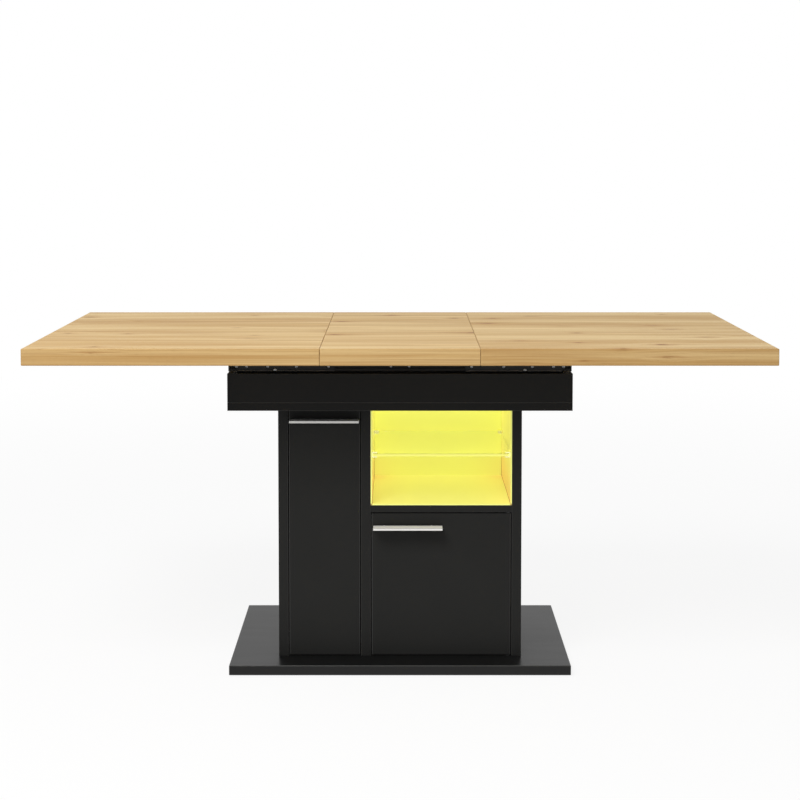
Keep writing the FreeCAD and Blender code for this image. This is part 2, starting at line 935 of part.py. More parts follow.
def make_catch():
    """Return the magnetic catch on the divider, and the strike plate let into the door."""
    x_high = divider_right + catch_width
    z_high = niche_floor_under - catch_drop
    z_low = z_high - catch_height
    y_low = door_back + catch_gap
    y_high = y_low + catch_depth
    catch = block(divider_right, x_high, y_low, y_high, z_low, z_high)
    free_corners = edges_along(catch, X_AXIS, lambda middle: middle.y > y_high - near)
    catch = catch.makeFillet(catch_edge_radius, free_corners)
    strike_x = (divider_right + x_high) / 2 + strike_shift
    strike_z = (z_low + z_high) / 2
    strike = block(
        strike_x - strike_width / 2,
        strike_x + strike_width / 2,
        door_back - strike_thickness,
        door_back,
        strike_z - strike_height / 2,
        strike_z + strike_height / 2,
    )
    return catch, strike


def make_door():
    """Return the door with its handle, pivots and bushes, and its catch and strike plate."""
    lower, lower_plate = make_pivot(fronts_bottom, -Z_AXIS)
    upper, upper_plate = make_pivot(door_face["top"], Z_AXIS)
    catch, strike = make_catch()
    return {
        "door_right": make_front(door_face).cut([lower_plate, upper_plate, strike]),
        "door_pivots": group([lower, upper]),
        "pivot_bushes": group([bush(foot, direction) for foot, direction in bush_places()]),
        "handle_right": make_handle(door_face),
        "strike_plate": strike,
        "magnetic_catch": catch,
    }


# --------------------------------------------------------------------------------------
# Pull-out of the narrow bay
# --------------------------------------------------------------------------------------
def both_sides(shape):
    """Return a piece at the pull-out's left and its mirror image at the right."""
    return [shape, shape.mirror(Vector(pullout_face["handle_x"], 0, 0), X_AXIS)]


def make_pullout():
    """Return the front, tray, shelves, rods and slides of the pull-out."""
    outside = left_inside + channel_width + channel_side_gap
    inside = outside + pullout_board
    middle = pullout_face["handle_x"]
    far_outside = 2 * middle - outside
    rear = back_front - pullout_back_gap
    back_face = rear - pullout_board
    side_bottom = base_top + pullout_floor_gap
    floor_level = side_bottom + pullout_floor_rise
    side = block(
        outside, inside, door_back, back_face, side_bottom, side_bottom + pullout_side_height
    )
    side = softened(side, panel_edge_radius, Y_AXIS)
    floor = block(
        inside, 2 * middle - inside, door_back, back_face, floor_level, floor_level + pullout_board
    )
    back = block(
        outside, far_outside, back_face, rear, side_bottom, side_bottom + pullout_back_height
    )
    back = softened(back, panel_edge_radius, Z_AXIS)
    shelves = [floor]
    rods = []
    rod_x = (outside + inside) / 2
    rod_length = back_face - door_back
    levels = [base_top + pullout_middle_level, base_top + pullout_upper_level]
    for level in levels:
        shelf = block(
            outside + pullout_shelf_inset,
            far_outside - pullout_shelf_inset,
            door_back,
            back_face,
            level - pullout_board,
            level,
        )
        shelves.append(softened(shelf, panel_edge_radius, Y_AXIS))
    for level in [floor_level + pullout_board] + levels:
        start = Vector(rod_x, door_back, level + pullout_rod_rise)
        rods.extend(both_sides(rod(pullout_rod_radius, start, Y_AXIS, rod_length)))
    channel_bottom = side_bottom + (pullout_side_height - channel_height) / 2
    channel_front = door_back + channel_front_gap + channel_cap
    section = channel_section(channel_width, channel_height, channel_sheet, channel_lip)
    points = [Vector(left_inside + out, channel_front, channel_bottom + up) for out, up in section]
    channel = extruded(points, Vector(0, channel_length, 0))
    cap = block(
        left_inside,
        left_inside + channel_width,
        channel_front - channel_cap,
        channel_front,
        channel_bottom,
        channel_bottom + channel_height,
    )
    slider_front = channel_front + pullout_travel + slide_end_play
    neck_end = channel_width + channel_side_gap
    section = slider_section(
        channel_width, channel_height, channel_sheet, channel_lip, neck_end
    )
    points = [Vector(left_inside + out, slider_front, channel_bottom + up) for out, up in section]
    slider = extruded(points, Vector(0, back_face - slider_front, 0))
    return {
        "pullout_front": make_front(pullout_face),
        "handle_left": make_handle(pullout_face),
        "pullout_sides": group(both_sides(side)),
        "pullout_shelves": group(shelves),
        "pullout_back": back,
        "pullout_rods": group(rods),
        "pullout_sliders": group(both_sides(slider)),
        "pullout_channels": group(both_sides(channel)),
        "pullout_channel_caps": group(both_sides(cap)),
    }


# --------------------------------------------------------------------------------------
# Build and write every sub-part
# --------------------------------------------------------------------------------------
def make_table():
    """Return every sub-part of the table by name."""
    parts = {}
    parts.update(make_base())
    parts.update(make_carcass())
    parts.update(make_inner_shelf())
    parts.update(make_lining())
    parts.update(make_glass_shelf())
    parts.update(make_light())
    parts.update(make_apron())
    parts.update(make_tracks())
    parts.update(make_table_top())
    parts.update(make_door())
    parts.update(make_pullout())
    return parts


os.makedirs("parts", exist_ok=True)
for node, shape in make_table().items():
    shape.exportStep("parts/" + node + ".step")
    print(node, len(shape.Solids), "solids", round(shape.Volume / 1000, 1), "cm3", shape.isValid())
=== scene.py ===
"""Looks of a table whose extending oak top stands on a black cabinet with a lit niche."""

import json
import logging
import math
from dataclasses import dataclass
from enum import Enum

import bmesh
import bpy
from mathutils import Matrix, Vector

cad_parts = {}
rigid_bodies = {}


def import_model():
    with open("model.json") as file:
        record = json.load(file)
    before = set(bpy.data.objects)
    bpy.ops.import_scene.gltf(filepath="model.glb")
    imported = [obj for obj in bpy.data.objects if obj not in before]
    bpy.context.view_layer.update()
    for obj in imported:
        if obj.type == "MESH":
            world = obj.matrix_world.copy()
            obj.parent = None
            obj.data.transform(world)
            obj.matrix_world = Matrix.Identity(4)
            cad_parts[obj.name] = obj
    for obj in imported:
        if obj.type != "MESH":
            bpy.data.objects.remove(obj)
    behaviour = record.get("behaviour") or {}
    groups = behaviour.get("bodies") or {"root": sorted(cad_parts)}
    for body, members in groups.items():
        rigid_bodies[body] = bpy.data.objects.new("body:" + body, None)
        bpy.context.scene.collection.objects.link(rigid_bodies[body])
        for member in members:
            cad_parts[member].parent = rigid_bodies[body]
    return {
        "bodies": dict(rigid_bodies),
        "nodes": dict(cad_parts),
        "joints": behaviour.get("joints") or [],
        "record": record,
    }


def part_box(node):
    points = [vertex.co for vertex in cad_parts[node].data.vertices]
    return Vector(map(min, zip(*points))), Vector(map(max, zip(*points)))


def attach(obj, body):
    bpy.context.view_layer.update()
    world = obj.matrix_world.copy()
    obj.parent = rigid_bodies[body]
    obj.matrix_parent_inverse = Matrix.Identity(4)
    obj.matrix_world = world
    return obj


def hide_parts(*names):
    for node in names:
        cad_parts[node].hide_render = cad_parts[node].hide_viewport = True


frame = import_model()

LOG = logging.getLogger("table")
MM = 0.001
QUARTER = math.tau / 4
FACING = "facing"

Triple = tuple[float, float, float]
Colour = tuple[float, float, float, float]

BLACK: Colour = (0.0, 0.0, 0.0, 1.0)
WHITE: Colour = (1.0, 1.0, 1.0, 1.0)

# The curve of a paint-chart colour: a straight toe, then a power
CHART_LEVELS = 255
TOE_END = 0.04045
TOE_SLOPE = 12.92
CURVE_OFFSET = 0.055
CURVE_POWER = 2.4


def paint(red: int, green: int, blue: int) -> Colour:
    """Turns a paint-chart colour into the linear one that shaders take.

    Args:
        red: Red from 0 to 255.
        green: Green from 0 to 255.
        blue: Blue from 0 to 255.

    Returns:
        The linear colour with a full alpha.
    """
    linear = []
    for level in (red, green, blue):
        share = level / CHART_LEVELS
        curved = ((share + CURVE_OFFSET) / (1 + CURVE_OFFSET)) ** CURVE_POWER
        linear.append(share / TOE_SLOPE if share <= TOE_END else curved)
    return (linear[0], linear[1], linear[2], 1.0)


class Slot(Enum):
    """The record's names for what each piece is made of."""

    BOARD = "lacquered_board"
    OAK = "oak"
    GLIDE = "glide_plastic"
    BLACK_STEEL = "black_steel"
    ZINC = "zinc_steel"
    HANDLE = "handle_metal"
    CHROME = "chrome_clip"
    LINING = "niche_lining"
    GLASS = "glass"
    PROFILE = "light_profile"
    STRIP = "light_strip"
    DIFFUSER = "light_diffuser"
    BLACK_PLASTIC = "black_plastic"
    NYLON = "nylon"


class Body(Enum):
    """The bodies that pieces ride on."""

    CARCASS = "carcass"
    TOP_LEFT = "top_left"
    TOP_RIGHT = "top_right"
    PULLOUT = "pullout"
    DOOR = "door"


class Way(Enum):
    """The way that a screw's head faces."""

    FRONT = (0.0, -1.0, 0.0)
    BACK = (0.0, 1.0, 0.0)
    RIGHT = (1.0, 0.0, 0.0)
    UP = (0.0, 0.0, 1.0)
    DOWN = (0.0, 0.0, -1.0)


# Node trees


class Value:
    """A number on its way through a node tree. Reckoning with it adds nodes."""

    def __init__(self, graph: "Graph", socket: bpy.types.NodeSocket) -> None:
        """Wraps a socket.

        Args:
            graph: The tree that the socket is in.
            socket: The output that gives the number.
        """
        self.graph = graph
        self.socket = socket

    def __add__(self, other: "Number") -> "Value":
        """Returns the sum."""
        return self.graph.math("ADD", self, other)

    def __sub__(self, other: "Number") -> "Value":
        """Returns this number less the other."""
        return self.graph.math("SUBTRACT", self, other)

    def __rsub__(self, other: "Number") -> "Value":
        """Returns the other number less this one."""
        return self.graph.math("SUBTRACT", other, self)

    def __mul__(self, other: "Number") -> "Value":
        """Returns the product."""
        return self.graph.math("MULTIPLY", self, other)

    def __truediv__(self, other: "Number") -> "Value":
        """Returns this number over the other."""
        return self.graph.math("DIVIDE", self, other)

    def __gt__(self, other: "Number") -> "Value":
        """Returns 1 where this number is the greater."""
        return self.graph.math("GREATER_THAN", self, other)

    def __abs__(self) -> "Value":
        """Returns the size of the number."""
        return self.graph.math("ABSOLUTE", self)

    __radd__ = __add__
    __rmul__ = __mul__


Number = Value | float


class Graph:
    """A node tree, and the ways to add to it."""

    def __init__(self, tree: bpy.types.NodeTree) -> None:
        """Takes over a tree and empties it.

        Args:
            tree: The tree to build in.
        """
        self.tree = tree
        tree.nodes.clear()

    def add(
        self, kind: str, settings: dict | None = None, sockets: dict | None = None
    ) -> bpy.types.Node:
        """Adds one node.

        Args:
            kind: The node's type.
            settings: Its properties by name.
            sockets: What its inputs get, by name or number: a value, a socket or a Value.

        Returns:
            The new node.
        """
        node = self.tree.nodes.new(kind)
        for name, setting in (settings or {}).items():
            setattr(node, name, setting)
        for key, given in (sockets or {}).items():
            source = given.socket if isinstance(given, Value) else given
            if isinstance(source, bpy.types.NodeSocket):
                self.tree.links.new(source, node.inputs[key])
            else:
                node.inputs[key].default_value = source
        return node

    def math(self, operation: str, *terms: Number) -> Value:
        """Adds a Math node.

        Args:
            operation: What the node does with its terms.
            *terms: Numbers or values, in the node's order.

        Returns:
            The node's result.
        """
        node = self.add("ShaderNodeMath", {"operation": operation}, dict(enumerate(terms)))
        return Value(self, node.outputs[0])

    def greatest(self, first: Number, *others: Number) -> Value:
        """Finds the greatest of some numbers.

        Args:
            first: The first number.
            *others: The other ones.

        Returns:
            The greatest.
        """
        for other in others:
            first = self.math("MAXIMUM", first, other)
        return first


class Shader(Graph):
    """The node tree of one material."""

    # The numbers of a Mix node's colour sockets, which share their names with those of other types
    MIX_SHARE = 0
    MIX_FIRST = 6
    MIX_SECOND = 7
    MIX_RESULT = 2

    def spot(self, scale: Triple = (1, 1, 1), shift: Triple = (0, 0, 0)) -> bpy.types.NodeSocket:
        """Gives the place on the object, stretched and shifted.

        Args:
            scale: How often the pattern repeats in a metre, along each axis.
            shift: How far the pattern is moved, in its own units.

        Returns:
            The Mapping node's vector.
        """
        place = self.add("ShaderNodeTexCoord").outputs["Object"]
        sockets = {"Vector": place, "Location": shift, "Scale": scale}
        return self.add("ShaderNodeMapping", None, sockets).outputs["Vector"]

    def split(self, vector: bpy.types.NodeSocket) -> tuple[Value, Value, Value]:
        """Returns a vector's three numbers."""
        node = self.add("ShaderNodeSeparateXYZ", None, {0: vector})
        return tuple(Value(self, output) for output in node.outputs)

    def join(self, x: Number, y: Number, z: Number = 0.0) -> bpy.types.NodeSocket:
        """Returns the vector of three numbers."""
        return self.add("ShaderNodeCombineXYZ", None, {0: x, 1: y, 2: z}).outputs[0]

    def facing(self) -> tuple[Value, Value, Value]:
        """Returns how squarely the surface faces along each axis, from -1 to 1."""
        return self.split(self.add("ShaderNodeTexCoord").outputs["Normal"])

    def noise(self, vector: bpy.types.NodeSocket, detail: float, rough: float = 0.5) -> Value:
        """Adds a noise.

        Args:
            vector: Where the noise is read.
            detail: How many finer layers it has.
            rough: How strong those layers are.

        Returns:
            The noise, around one half.
        """
        sockets = {"Vector": vector, "Scale": 1.0, "Detail": detail, "Roughness": rough}
        return Value(self, self.add("ShaderNodeTexNoise", None, sockets).outputs[0])

    def step(
        self, value: Number, start: float, end: float, low: float = 0.0, high: float = 1.0
    ) -> Value:
        """Turns smoothly from one number to another.

        Args:
            value: What is looked at.
            start: Where the turn begins.
            end: Where it ends, on either side of start.
            low: The result before start.
            high: The result after end.

        Returns:
            The turned value.
        """
        if start > end:
            start, end, low, high = end, start, high, low
        settings = {"interpolation_type": "SMOOTHSTEP"}
        sockets = {"Value": value, "From Min": start, "From Max": end, "To Min": low, "To Max": high}
        return Value(self, self.add("ShaderNodeMapRange", settings, sockets).outputs[0])

    def wave(self, place: Value, length: float) -> Value:
        """Returns a wave from -1 to 1, with a crest at 0 and at each length from there."""
        return self.math("COSINE", place * (math.tau / length))

    def blend(
        self, share: Number, first: "Tint", second: "Tint", mode: str = "MIX"
    ) -> bpy.types.NodeSocket:
        """Mixes two colours.

        Args:
            share: How much of the second shows.
            first: The colour at share 0.
            second: The colour at share 1.
            mode: How the second goes over the first.

        Returns:
            The mixed colour.
        """
        settings = {"data_type": "RGBA", "blend_type": mode}
        sockets = {self.MIX_SHARE: share, self.MIX_FIRST: first, self.MIX_SECOND: second}
        return self.add("ShaderNodeMix", settings, sockets).outputs[self.MIX_RESULT]

    def rounded(self, flat: float = 0.995, bent: float = 0.96) -> Value:
        """Finds the rounded edges of a board, whose faces lie along the axes.

        Args:
            flat: How squarely a face has to lie along an axis to count as flat.
            bent: How squarely the surface lies where it counts as wholly rounded.

        Returns:
            1 where the surface turns from one face to the next, and 0 on the faces.
        """
        x, y, z = (abs(part) for part in self.facing())
        return self.step(self.greatest(x, y, z), flat, bent)

    def sides(self, flat: float = 0.8, upright: float = 0.4) -> Value:
        """Finds the surfaces that stand upright.

        Args:
            flat: How squarely a surface faces up or down to count as lying.
            upright: How squarely it does where it counts as wholly upright.

        Returns:
            1 on upright surfaces and 0 on lying ones.
        """
        return self.step(abs(self.facing()[2]), flat, upright)

    def relief(self, height: Number, depth: float, strength: float = 1.0) -> bpy.types.NodeSocket:
        """Adds a Bump node.

        Args:
            height: The relief, from 0 to 1.
            depth: What 1 stands for, in metres.
            strength: How much of it shows.

        Returns:
            The bumped normal.
        """
        sockets = {"Height": height, "Distance": depth, "Strength": strength}
        return self.add("ShaderNodeBump", None, sockets).outputs[0]

    def surface(self, sockets: dict) -> bpy.types.Node:
        """Adds a Principled surface.

        Args:
            sockets: What its inputs get.

        Returns:
            The shader's node.
        """
        return self.add("ShaderNodeBsdfPrincipled", None, sockets)

    def either(self, share: Number, first: bpy.types.Node, second: bpy.types.Node) -> bpy.types.Node:
        """Mixes two shaders.

        Args:
            share: How much of the second shows.
            first: The shader at share 0.
            second: The shader at share 1.

        Returns:
            The Mix Shader node.
        """
        sockets = {0: share, 1: first.outputs[0], 2: second.outputs[0]}
        return self.add("ShaderNodeMixShader", None, sockets)

    def show(self, node: bpy.types.Node) -> None:
        """Links a shader to the output."""
        self.add("ShaderNodeOutputMaterial", None, {"Surface": node.outputs[0]})


Tint = bpy.types.NodeSocket | Colour


@dataclass(frozen=True)
class Pattern:
    """A noise that runs all through a finish, with how often it repeats in a metre."""

    scale: Triple
    detail: float = 2.0
    rough: float = 0.5

    def on(self, shader: Shader) -> Value:
        """Returns the noise, around one half."""
        return shader.noise(shader.spot(self.scale), self.detail, self.rough)


def even(often: float, detail: float = 2.0) -> Pattern:
    """Returns a pattern that is as fine along one axis as along the others."""
    return Pattern((often, often, often), detail)


@dataclass(frozen=True)
class Grain:
    """A noise drawn out along wood, with how often it repeats in a metre each way."""

    along: float
    across: float
    detail: float = 2.0
    rough: float = 0.5
    layer: float = 0.0

    def on(self, shader: Shader, along: Value, across: Value) -> Value:
        """Reads the noise.

        Args:
            shader: The tree that is being built.
            along: The place along the grain, in metres.
            across: The place across it, in metres.

        Returns:
            The noise, around one half.
        """
        place = shader.join(along * self.along, across * self.across, self.layer)
        return shader.noise(place, self.detail, self.rough)


@dataclass(frozen=True)
class Turn:
    """Where a mark sets in, where it is full, and how strong it is there."""

    start: float
    end: float
    share: float = 1.0

    def of(self, shader: Shader, value: Number) -> Value:
        """Returns how strong the mark is at a value."""
        return shader.step(value, self.start, self.end, 0.0, self.share)


# Finishes


class Finish:
    """What a surface is made of. Each kind builds its own nodes."""

    def nodes(self, shader: Shader) -> None:
        """Builds the finish in an empty tree."""
        raise NotImplementedError

    def material(self, name: str) -> bpy.types.Material:
        """Makes the material.

        Args:
            name: The material's name.

        Returns:
            The finished material.
        """
        made = bpy.data.materials.new(name)
        made.use_nodes = True
        self.nodes(Shader(made.node_tree))
        return made


@dataclass(frozen=True)
class Cell:
    """The stretch of board round one knot."""

    chosen: Value
    inside: Value
    size: Value
    from_x: Value
    from_y: Value


@dataclass(frozen=True)
class Knot:
    """How strong each mark of the nearest knot is, and how far it pulls the grain aside."""

    broken: Value
    halo: Value
    core: Value
    tail: Value
    pull: Value


@dataclass(frozen=True)
class Oak(Finish):
    """Matt lacquered oak with long grain, flames, knots and pores."""

    pale: Colour = paint(224, 197, 146)
    warm: Colour = paint(198, 163, 108)
    streak: Colour = paint(162, 119, 72)
    halo: Colour = paint(166, 118, 70)
    knot: Colour = paint(118, 76, 46)
    # Painted shade: the board's upright faces are multiplied darker and warmer than its top
    upright_shade: Colour = (0.85, 0.8, 0.725, 1.0)
    arris: Colour = (0.9, 0.86, 0.8, 1.0)
    cut: Triple = (0.0, 0.0, 0.0)

    # How the sheet is folded over the edges
    edge_stretch: float = 4.5
    end_facing: Turn = Turn(0.6, 0.8)
    end_shift: float = 3.1

    # The grain
    wander: Grain = Grain(1.3, 4.0)
    wander_width: float = 0.03
    broad: Grain = Grain(0.8, 16.0, 3.0, 0.55)
    broad_warm: Turn = Turn(0.3, 0.72)
    fine: Grain = Grain(3.0, 130.0, 4.0, 0.6)
    fine_dark: Turn = Turn(0.42, 0.75, 0.4)
    fine_pale: Turn = Turn(0.5, 0.25, 0.25)
    line: Grain = Grain(0.7, 62.0, 3.0, 0.6, 7.0)
    line_dark: Turn = Turn(0.55, 0.64, 0.45)
    flame: Grain = Grain(0.9, 6.5, 1.0, layer=3.0)
    flame_rings: float = 64.0
    flame_dark: Turn = Turn(0.35, 0.6, 0.16)
    pore: Grain = Grain(60.0, 900.0, 1.0)
    pore_open: Turn = Turn(0.64, 0.78)
    pore_dark: float = 0.28

    # The knots, with lengths in shares of a knot's radius
    knots_along: float = 4.2
    knots_across: float = 6.5
    knot_share: float = 0.75
    knot_small: float = 10 * MM
    knot_large: float = 27 * MM
    knot_stretch: float = 1.5
    cell_border: Turn = Turn(0.0, 0.16)
    ragged: Grain = Grain(45.0, 90.0, 3.0, 0.6)
    ragged_bend: float = 0.8
    ragged_reach: float = 1.1
    torn: Grain = Grain(16.0, 210.0, layer=5.0)
    torn_open: Turn = Turn(0.4, 0.58)
    torn_on_edges: float = 0.45
    halo_turn: Turn = Turn(1.1, 0.4)
    halo_whole: float = 0.25
    halo_share: float = 0.5
    core_turn: Turn = Turn(0.5, 0.15)
    core_share: float = 0.7
    tail_length: Turn = Turn(4.5, 0.5)
    tail_width: Turn = Turn(0.42, 0.05)
    tail_whole: float = 0.2
    tail_broken: float = 0.4
    pull_turn: Turn = Turn(3.0, 0.6)
    pull_share: float = 0.6

    # The lacquered surface
    roughness: float = 0.54
    open_roughness: float = 0.1
    shine: float = 0.12
    fine_height: float = 0.5
    core_depth: float = 0.6
    relief_depth: float = 0.25 * MM
    relief_share: float = 0.6

    def nodes(self, shader: Shader) -> None:
        """Builds the finish in an empty tree.

        Args:
            shader: The material's tree.
        """
        along, sheet_across, side = self._sheet(shader)
        wander = self.wander.on(shader, along, sheet_across)
        across = sheet_across + (wander - 0.5) * self.wander_width
        cell = self._cell(shader, shader.join(along, sheet_across))
        knot = self._knot(shader, cell, along, across, side)
        across = across - cell.from_y * knot.pull * self.pull_share
        broad = self.broad.on(shader, along, across)
        fine = self.fine.on(shader, along, across)
        line = self.line.on(shader, along, across)
        flame = self.flame.on(shader, along, across)
        rings = shader.math("SINE", flame * self.flame_rings) * 0.5 + 0.5
        pores = self.pore_open.of(shader, self.pore.on(shader, along, across))
        colour = self.pale
        for share, tint, mode in (
            (self.broad_warm.of(shader, broad), self.warm, "MIX"),
            (self.line_dark.of(shader, line), self.streak, "MIX"),
            (self.fine_dark.of(shader, fine), self.streak, "MIX"),
            (rings * self.flame_dark.of(shader, broad), self.streak, "MIX"),
            (self.fine_pale.of(shader, fine), self.pale, "MIX"),
            (knot.tail * (self.tail_whole + knot.broken * self.tail_broken), self.halo, "MIX"),
            (knot.halo * self.halo_share, self.halo, "MIX"),
            (knot.core * self.core_share, self.knot, "MIX"),
            (pores * self.pore_dark, self.streak, "MIX"),
            # Painted shade: upright faces darker
            (side, self.upright_shade, "MULTIPLY"),
            (shader.rounded(), self.arris, "MULTIPLY"),
        ):
            colour = shader.blend(share, colour, tint, mode)
        height = fine * self.fine_height - pores - knot.core * self.core_depth
        shader.show(shader.surface({
            "Base Color": colour,
            "Roughness": self.roughness + (fine + pores) * self.open_roughness,
            "Specular IOR Level": self.shine,
            "Normal": shader.relief(height, self.relief_depth, self.relief_share),
        }))

    def _sheet(self, shader: Shader) -> tuple[Value, Value, Value]:
        """Folds the grain over the board's edges, as a wrapped face does.

        Args:
            shader: The tree that is being built.

        Returns:
            The place along the grain and across it, in metres, and 1 on the edges or 0 on the faces.
        """
        x, y, z = shader.split(shader.spot(shift=self.cut))
        end = self.end_facing.of(shader, abs(shader.facing()[0]))
        face = 1 - end
        fold = z * self.edge_stretch
        along = x * face + (y + self.end_shift) * end
        return along, (y - fold) * face + fold * end, shader.sides()

    def _cell(self, shader: Shader, place: bpy.types.NodeSocket) -> Cell:
        """Finds the nearest knot.

        Args:
            shader: The tree that is being built.
            place: The place on the sheet.

        Returns:
            Whether the knot is there, a share that sinks to 0 at its cell's border, its radius, and how
            far it is along and across, in metres.
        """
        often = {0: place, 1: (self.knots_along, self.knots_across, 1.0)}
        spaced = shader.add("ShaderNodeVectorMath", {"operation": "MULTIPLY"}, often).outputs[0]
        sockets = {"Vector": spaced, "Scale": 1.0}
        cells = shader.add("ShaderNodeTexVoronoi", {"voronoi_dimensions": "2D"}, sockets)
        settings = {"voronoi_dimensions": "2D", "feature": "DISTANCE_TO_EDGE"}
        border = Value(shader, shader.add("ShaderNodeTexVoronoi", settings, sockets).outputs["Distance"])
        draw, weight, _ = shader.split(cells.outputs["Color"])
        here_x, here_y, _ = shader.split(spaced)
        knot_x, knot_y, _ = shader.split(cells.outputs["Position"])
        return Cell(
            chosen=draw > 1 - self.knot_share,
            inside=self.cell_border.of(shader, border),
            size=self.knot_small + weight * (self.knot_large - self.knot_small),
            from_x=(here_x - knot_x) * (1 / self.knots_along),
            from_y=(here_y - knot_y) * (1 / self.knots_across),
        )

    def _knot(self, shader: Shader, cell: Cell, along: Value, across: Value, side: Value) -> Knot:
        """Draws the nearest knot, torn along the grain.

        Args:
            shader: The tree that is being built.
            cell: The stretch of board round the knot.
            along: The place along the grain, in metres.
            across: The place across it, in metres.
            side: 1 on the board's edges and 0 on its faces.

        Returns:
            The knot's marks.
        """
        ragged = self.ragged.on(shader, along, across) - 0.5
        bent = cell.from_y + ragged * cell.size * self.ragged_bend
        drawn = cell.from_x * (1 / self.knot_stretch)
        radius = shader.math("SQRT", drawn * drawn + bent * bent)
        reach = radius / cell.size + ragged * self.ragged_reach
        torn = self.torn_open.of(shader, self.torn.on(shader, along, across))
        broken = torn * cell.chosen * (1 - side * (1 - self.torn_on_edges))
        there = cell.chosen * cell.inside
        halo = self.halo_turn.of(shader, reach) * (self.halo_whole + broken * (1 - self.halo_whole))
        tail = self.tail_length.of(shader, abs(cell.from_x) / cell.size)
        return Knot(
            broken=broken,
            halo=halo * there,
            core=self.core_turn.of(shader, reach) * broken,
            tail=tail * self.tail_width.of(shader, abs(bent) / cell.size) * there,
            pull=self.pull_turn.of(shader, reach) * there,
        )


@dataclass(frozen=True)
class Lacquer(Finish):
    """Black lacquer over board, with a faint peel and the marks of wiping; its rounded edges are painted
    paler as a painted highlight, and where asked its upright faces too.
    """

    dark: Colour = paint(36, 36, 35)
    light: Colour = paint(41, 41, 40)
    # Painted highlight: the paler colour of the rounded edges and, where asked, of the upright faces
    edge_highlight: Colour = paint(66, 66, 65)
    roughness: float = 0.45
    shine: float = 0.05
    # Painted highlight: how far the upright faces are blended towards the paler colour
    upright_highlight: float = 0.0
    clouds: Pattern = even(5, 4.0)
    wiped: Pattern = Pattern((7, 40, 7), 3.0)
    peel: Pattern = even(420)
    grit: Pattern = even(2600, 1.0)
    grit_share: float = 0.1
    highlight_least: float = 0.6
    highlight_spread: float = 0.8
    dulling: float = 0.05
    rub_polish: float = 0.15
    relief_depth: float = 0.02 * MM
    relief_share: float = 0.5

    def nodes(self, shader: Shader) -> None:
        """Builds the finish in an empty tree.

        Args:
            shader: The material's tree.
        """
        clouds, wiped = self.clouds.on(shader), self.wiped.on(shader)
        edge = shader.rounded()
        colour = shader.blend(clouds, self.dark, self.light)
        # Painted highlight: upright faces blended towards the paler colour
        colour = shader.blend(shader.sides() * self.upright_highlight, colour, self.edge_highlight)
        # Painted highlight: rounded edges painted paler, varied by the wiping marks
        edge_highlight_share = edge * (self.highlight_least + wiped * self.highlight_spread)
        dull = (clouds + wiped - 1) * self.dulling
        skin = self.peel.on(shader) + self.grit.on(shader) * self.grit_share
        shader.show(shader.surface({
            "Base Color": shader.blend(edge_highlight_share, colour, self.edge_highlight),
            "Roughness": self.roughness + dull - edge * self.rub_polish,
            "Specular IOR Level": self.shine,
            "Normal": shader.relief(skin, self.relief_depth, self.relief_share),
        }))


@dataclass(frozen=True)
class Coat(Finish):
    """Powder coat on steel, with its pebbled skin; its rounded bends are painted paler as a painted
    highlight.
    """

    dark: Colour = paint(19, 19, 19)
    light: Colour = paint(29, 29, 29)
    # Painted highlight: the paler colour of the rounded bends
    painted_bend_light: Colour = paint(74, 74, 74)
    roughness: float = 0.42
    shine: float = 0.25
    pebbles: Pattern = even(1500)
    clouds: Pattern = even(14, 3.0)
    cloud_share: float = 0.6
    dulling: float = 0.1
    relief_depth: float = 0.12 * MM

    def nodes(self, shader: Shader) -> None:
        """Builds the finish in an empty tree.

        Args:
            shader: The material's tree.
        """
        pebbles, clouds = self.pebbles.on(shader), self.clouds.on(shader)
        mottle = clouds * self.cloud_share + pebbles * (1 - self.cloud_share)
        colour = shader.blend(mottle, self.dark, self.light)
        shader.show(shader.surface({
            # Painted highlight: rounded bends painted paler
            "Base Color": shader.blend(shader.rounded(), colour, self.painted_bend_light),
            "Roughness": self.roughness + clouds * self.dulling,
            "Specular IOR Level": self.shine,
            "Normal": shader.relief(pebbles, self.relief_depth),
        }))


@dataclass(frozen=True)
class Metal(Finish):
    """Bare or plated metal, drawn or brushed along one axis; where asked, its rounded bends are painted
    darker as a painted dark reflection.
    """

    bright: Colour = paint(200, 200, 200)
    dull: Colour = paint(170, 170, 168)
    roughness: float = 0.3
    spread: float = 0.15
    lines: Pattern = Pattern((8, 900, 900), 3.0, 0.6)
    metallic: float = 1.0
    # Painted shade: the darker colour of the rounded bends, a painted dark reflection
    painted_bend_light: Colour = paint(96, 94, 92)
    painted_bend_share: float = 0.0
    clouds: Pattern = even(30, 3.0)
    cloud_share: float = 0.5
    cloud_spread: float = 0.1
    relief_depth: float = 0.03 * MM
    relief_share: float = 0.6

    def nodes(self, shader: Shader) -> None:
        """Builds the finish in an empty tree.

        Args:
            shader: The material's tree.
        """
        lines, clouds = self.lines.on(shader), self.clouds.on(shader)
        mottle = clouds * self.cloud_share + lines * (1 - self.cloud_share)
        colour = shader.blend(mottle, self.bright, self.dull)
        uneven = (lines - 0.5) * self.spread + (clouds - 0.5) * self.cloud_spread
        shader.show(shader.surface({
            # Painted shade: rounded bends painted darker, by the share given
            "Base Color": shader.blend(shader.rounded() * self.painted_bend_share, colour, self.painted_bend_light),
            "Metallic": self.metallic,
            "Roughness": self.roughness + uneven,
            "Normal": shader.relief(lines, self.relief_depth, self.relief_share),
        }))


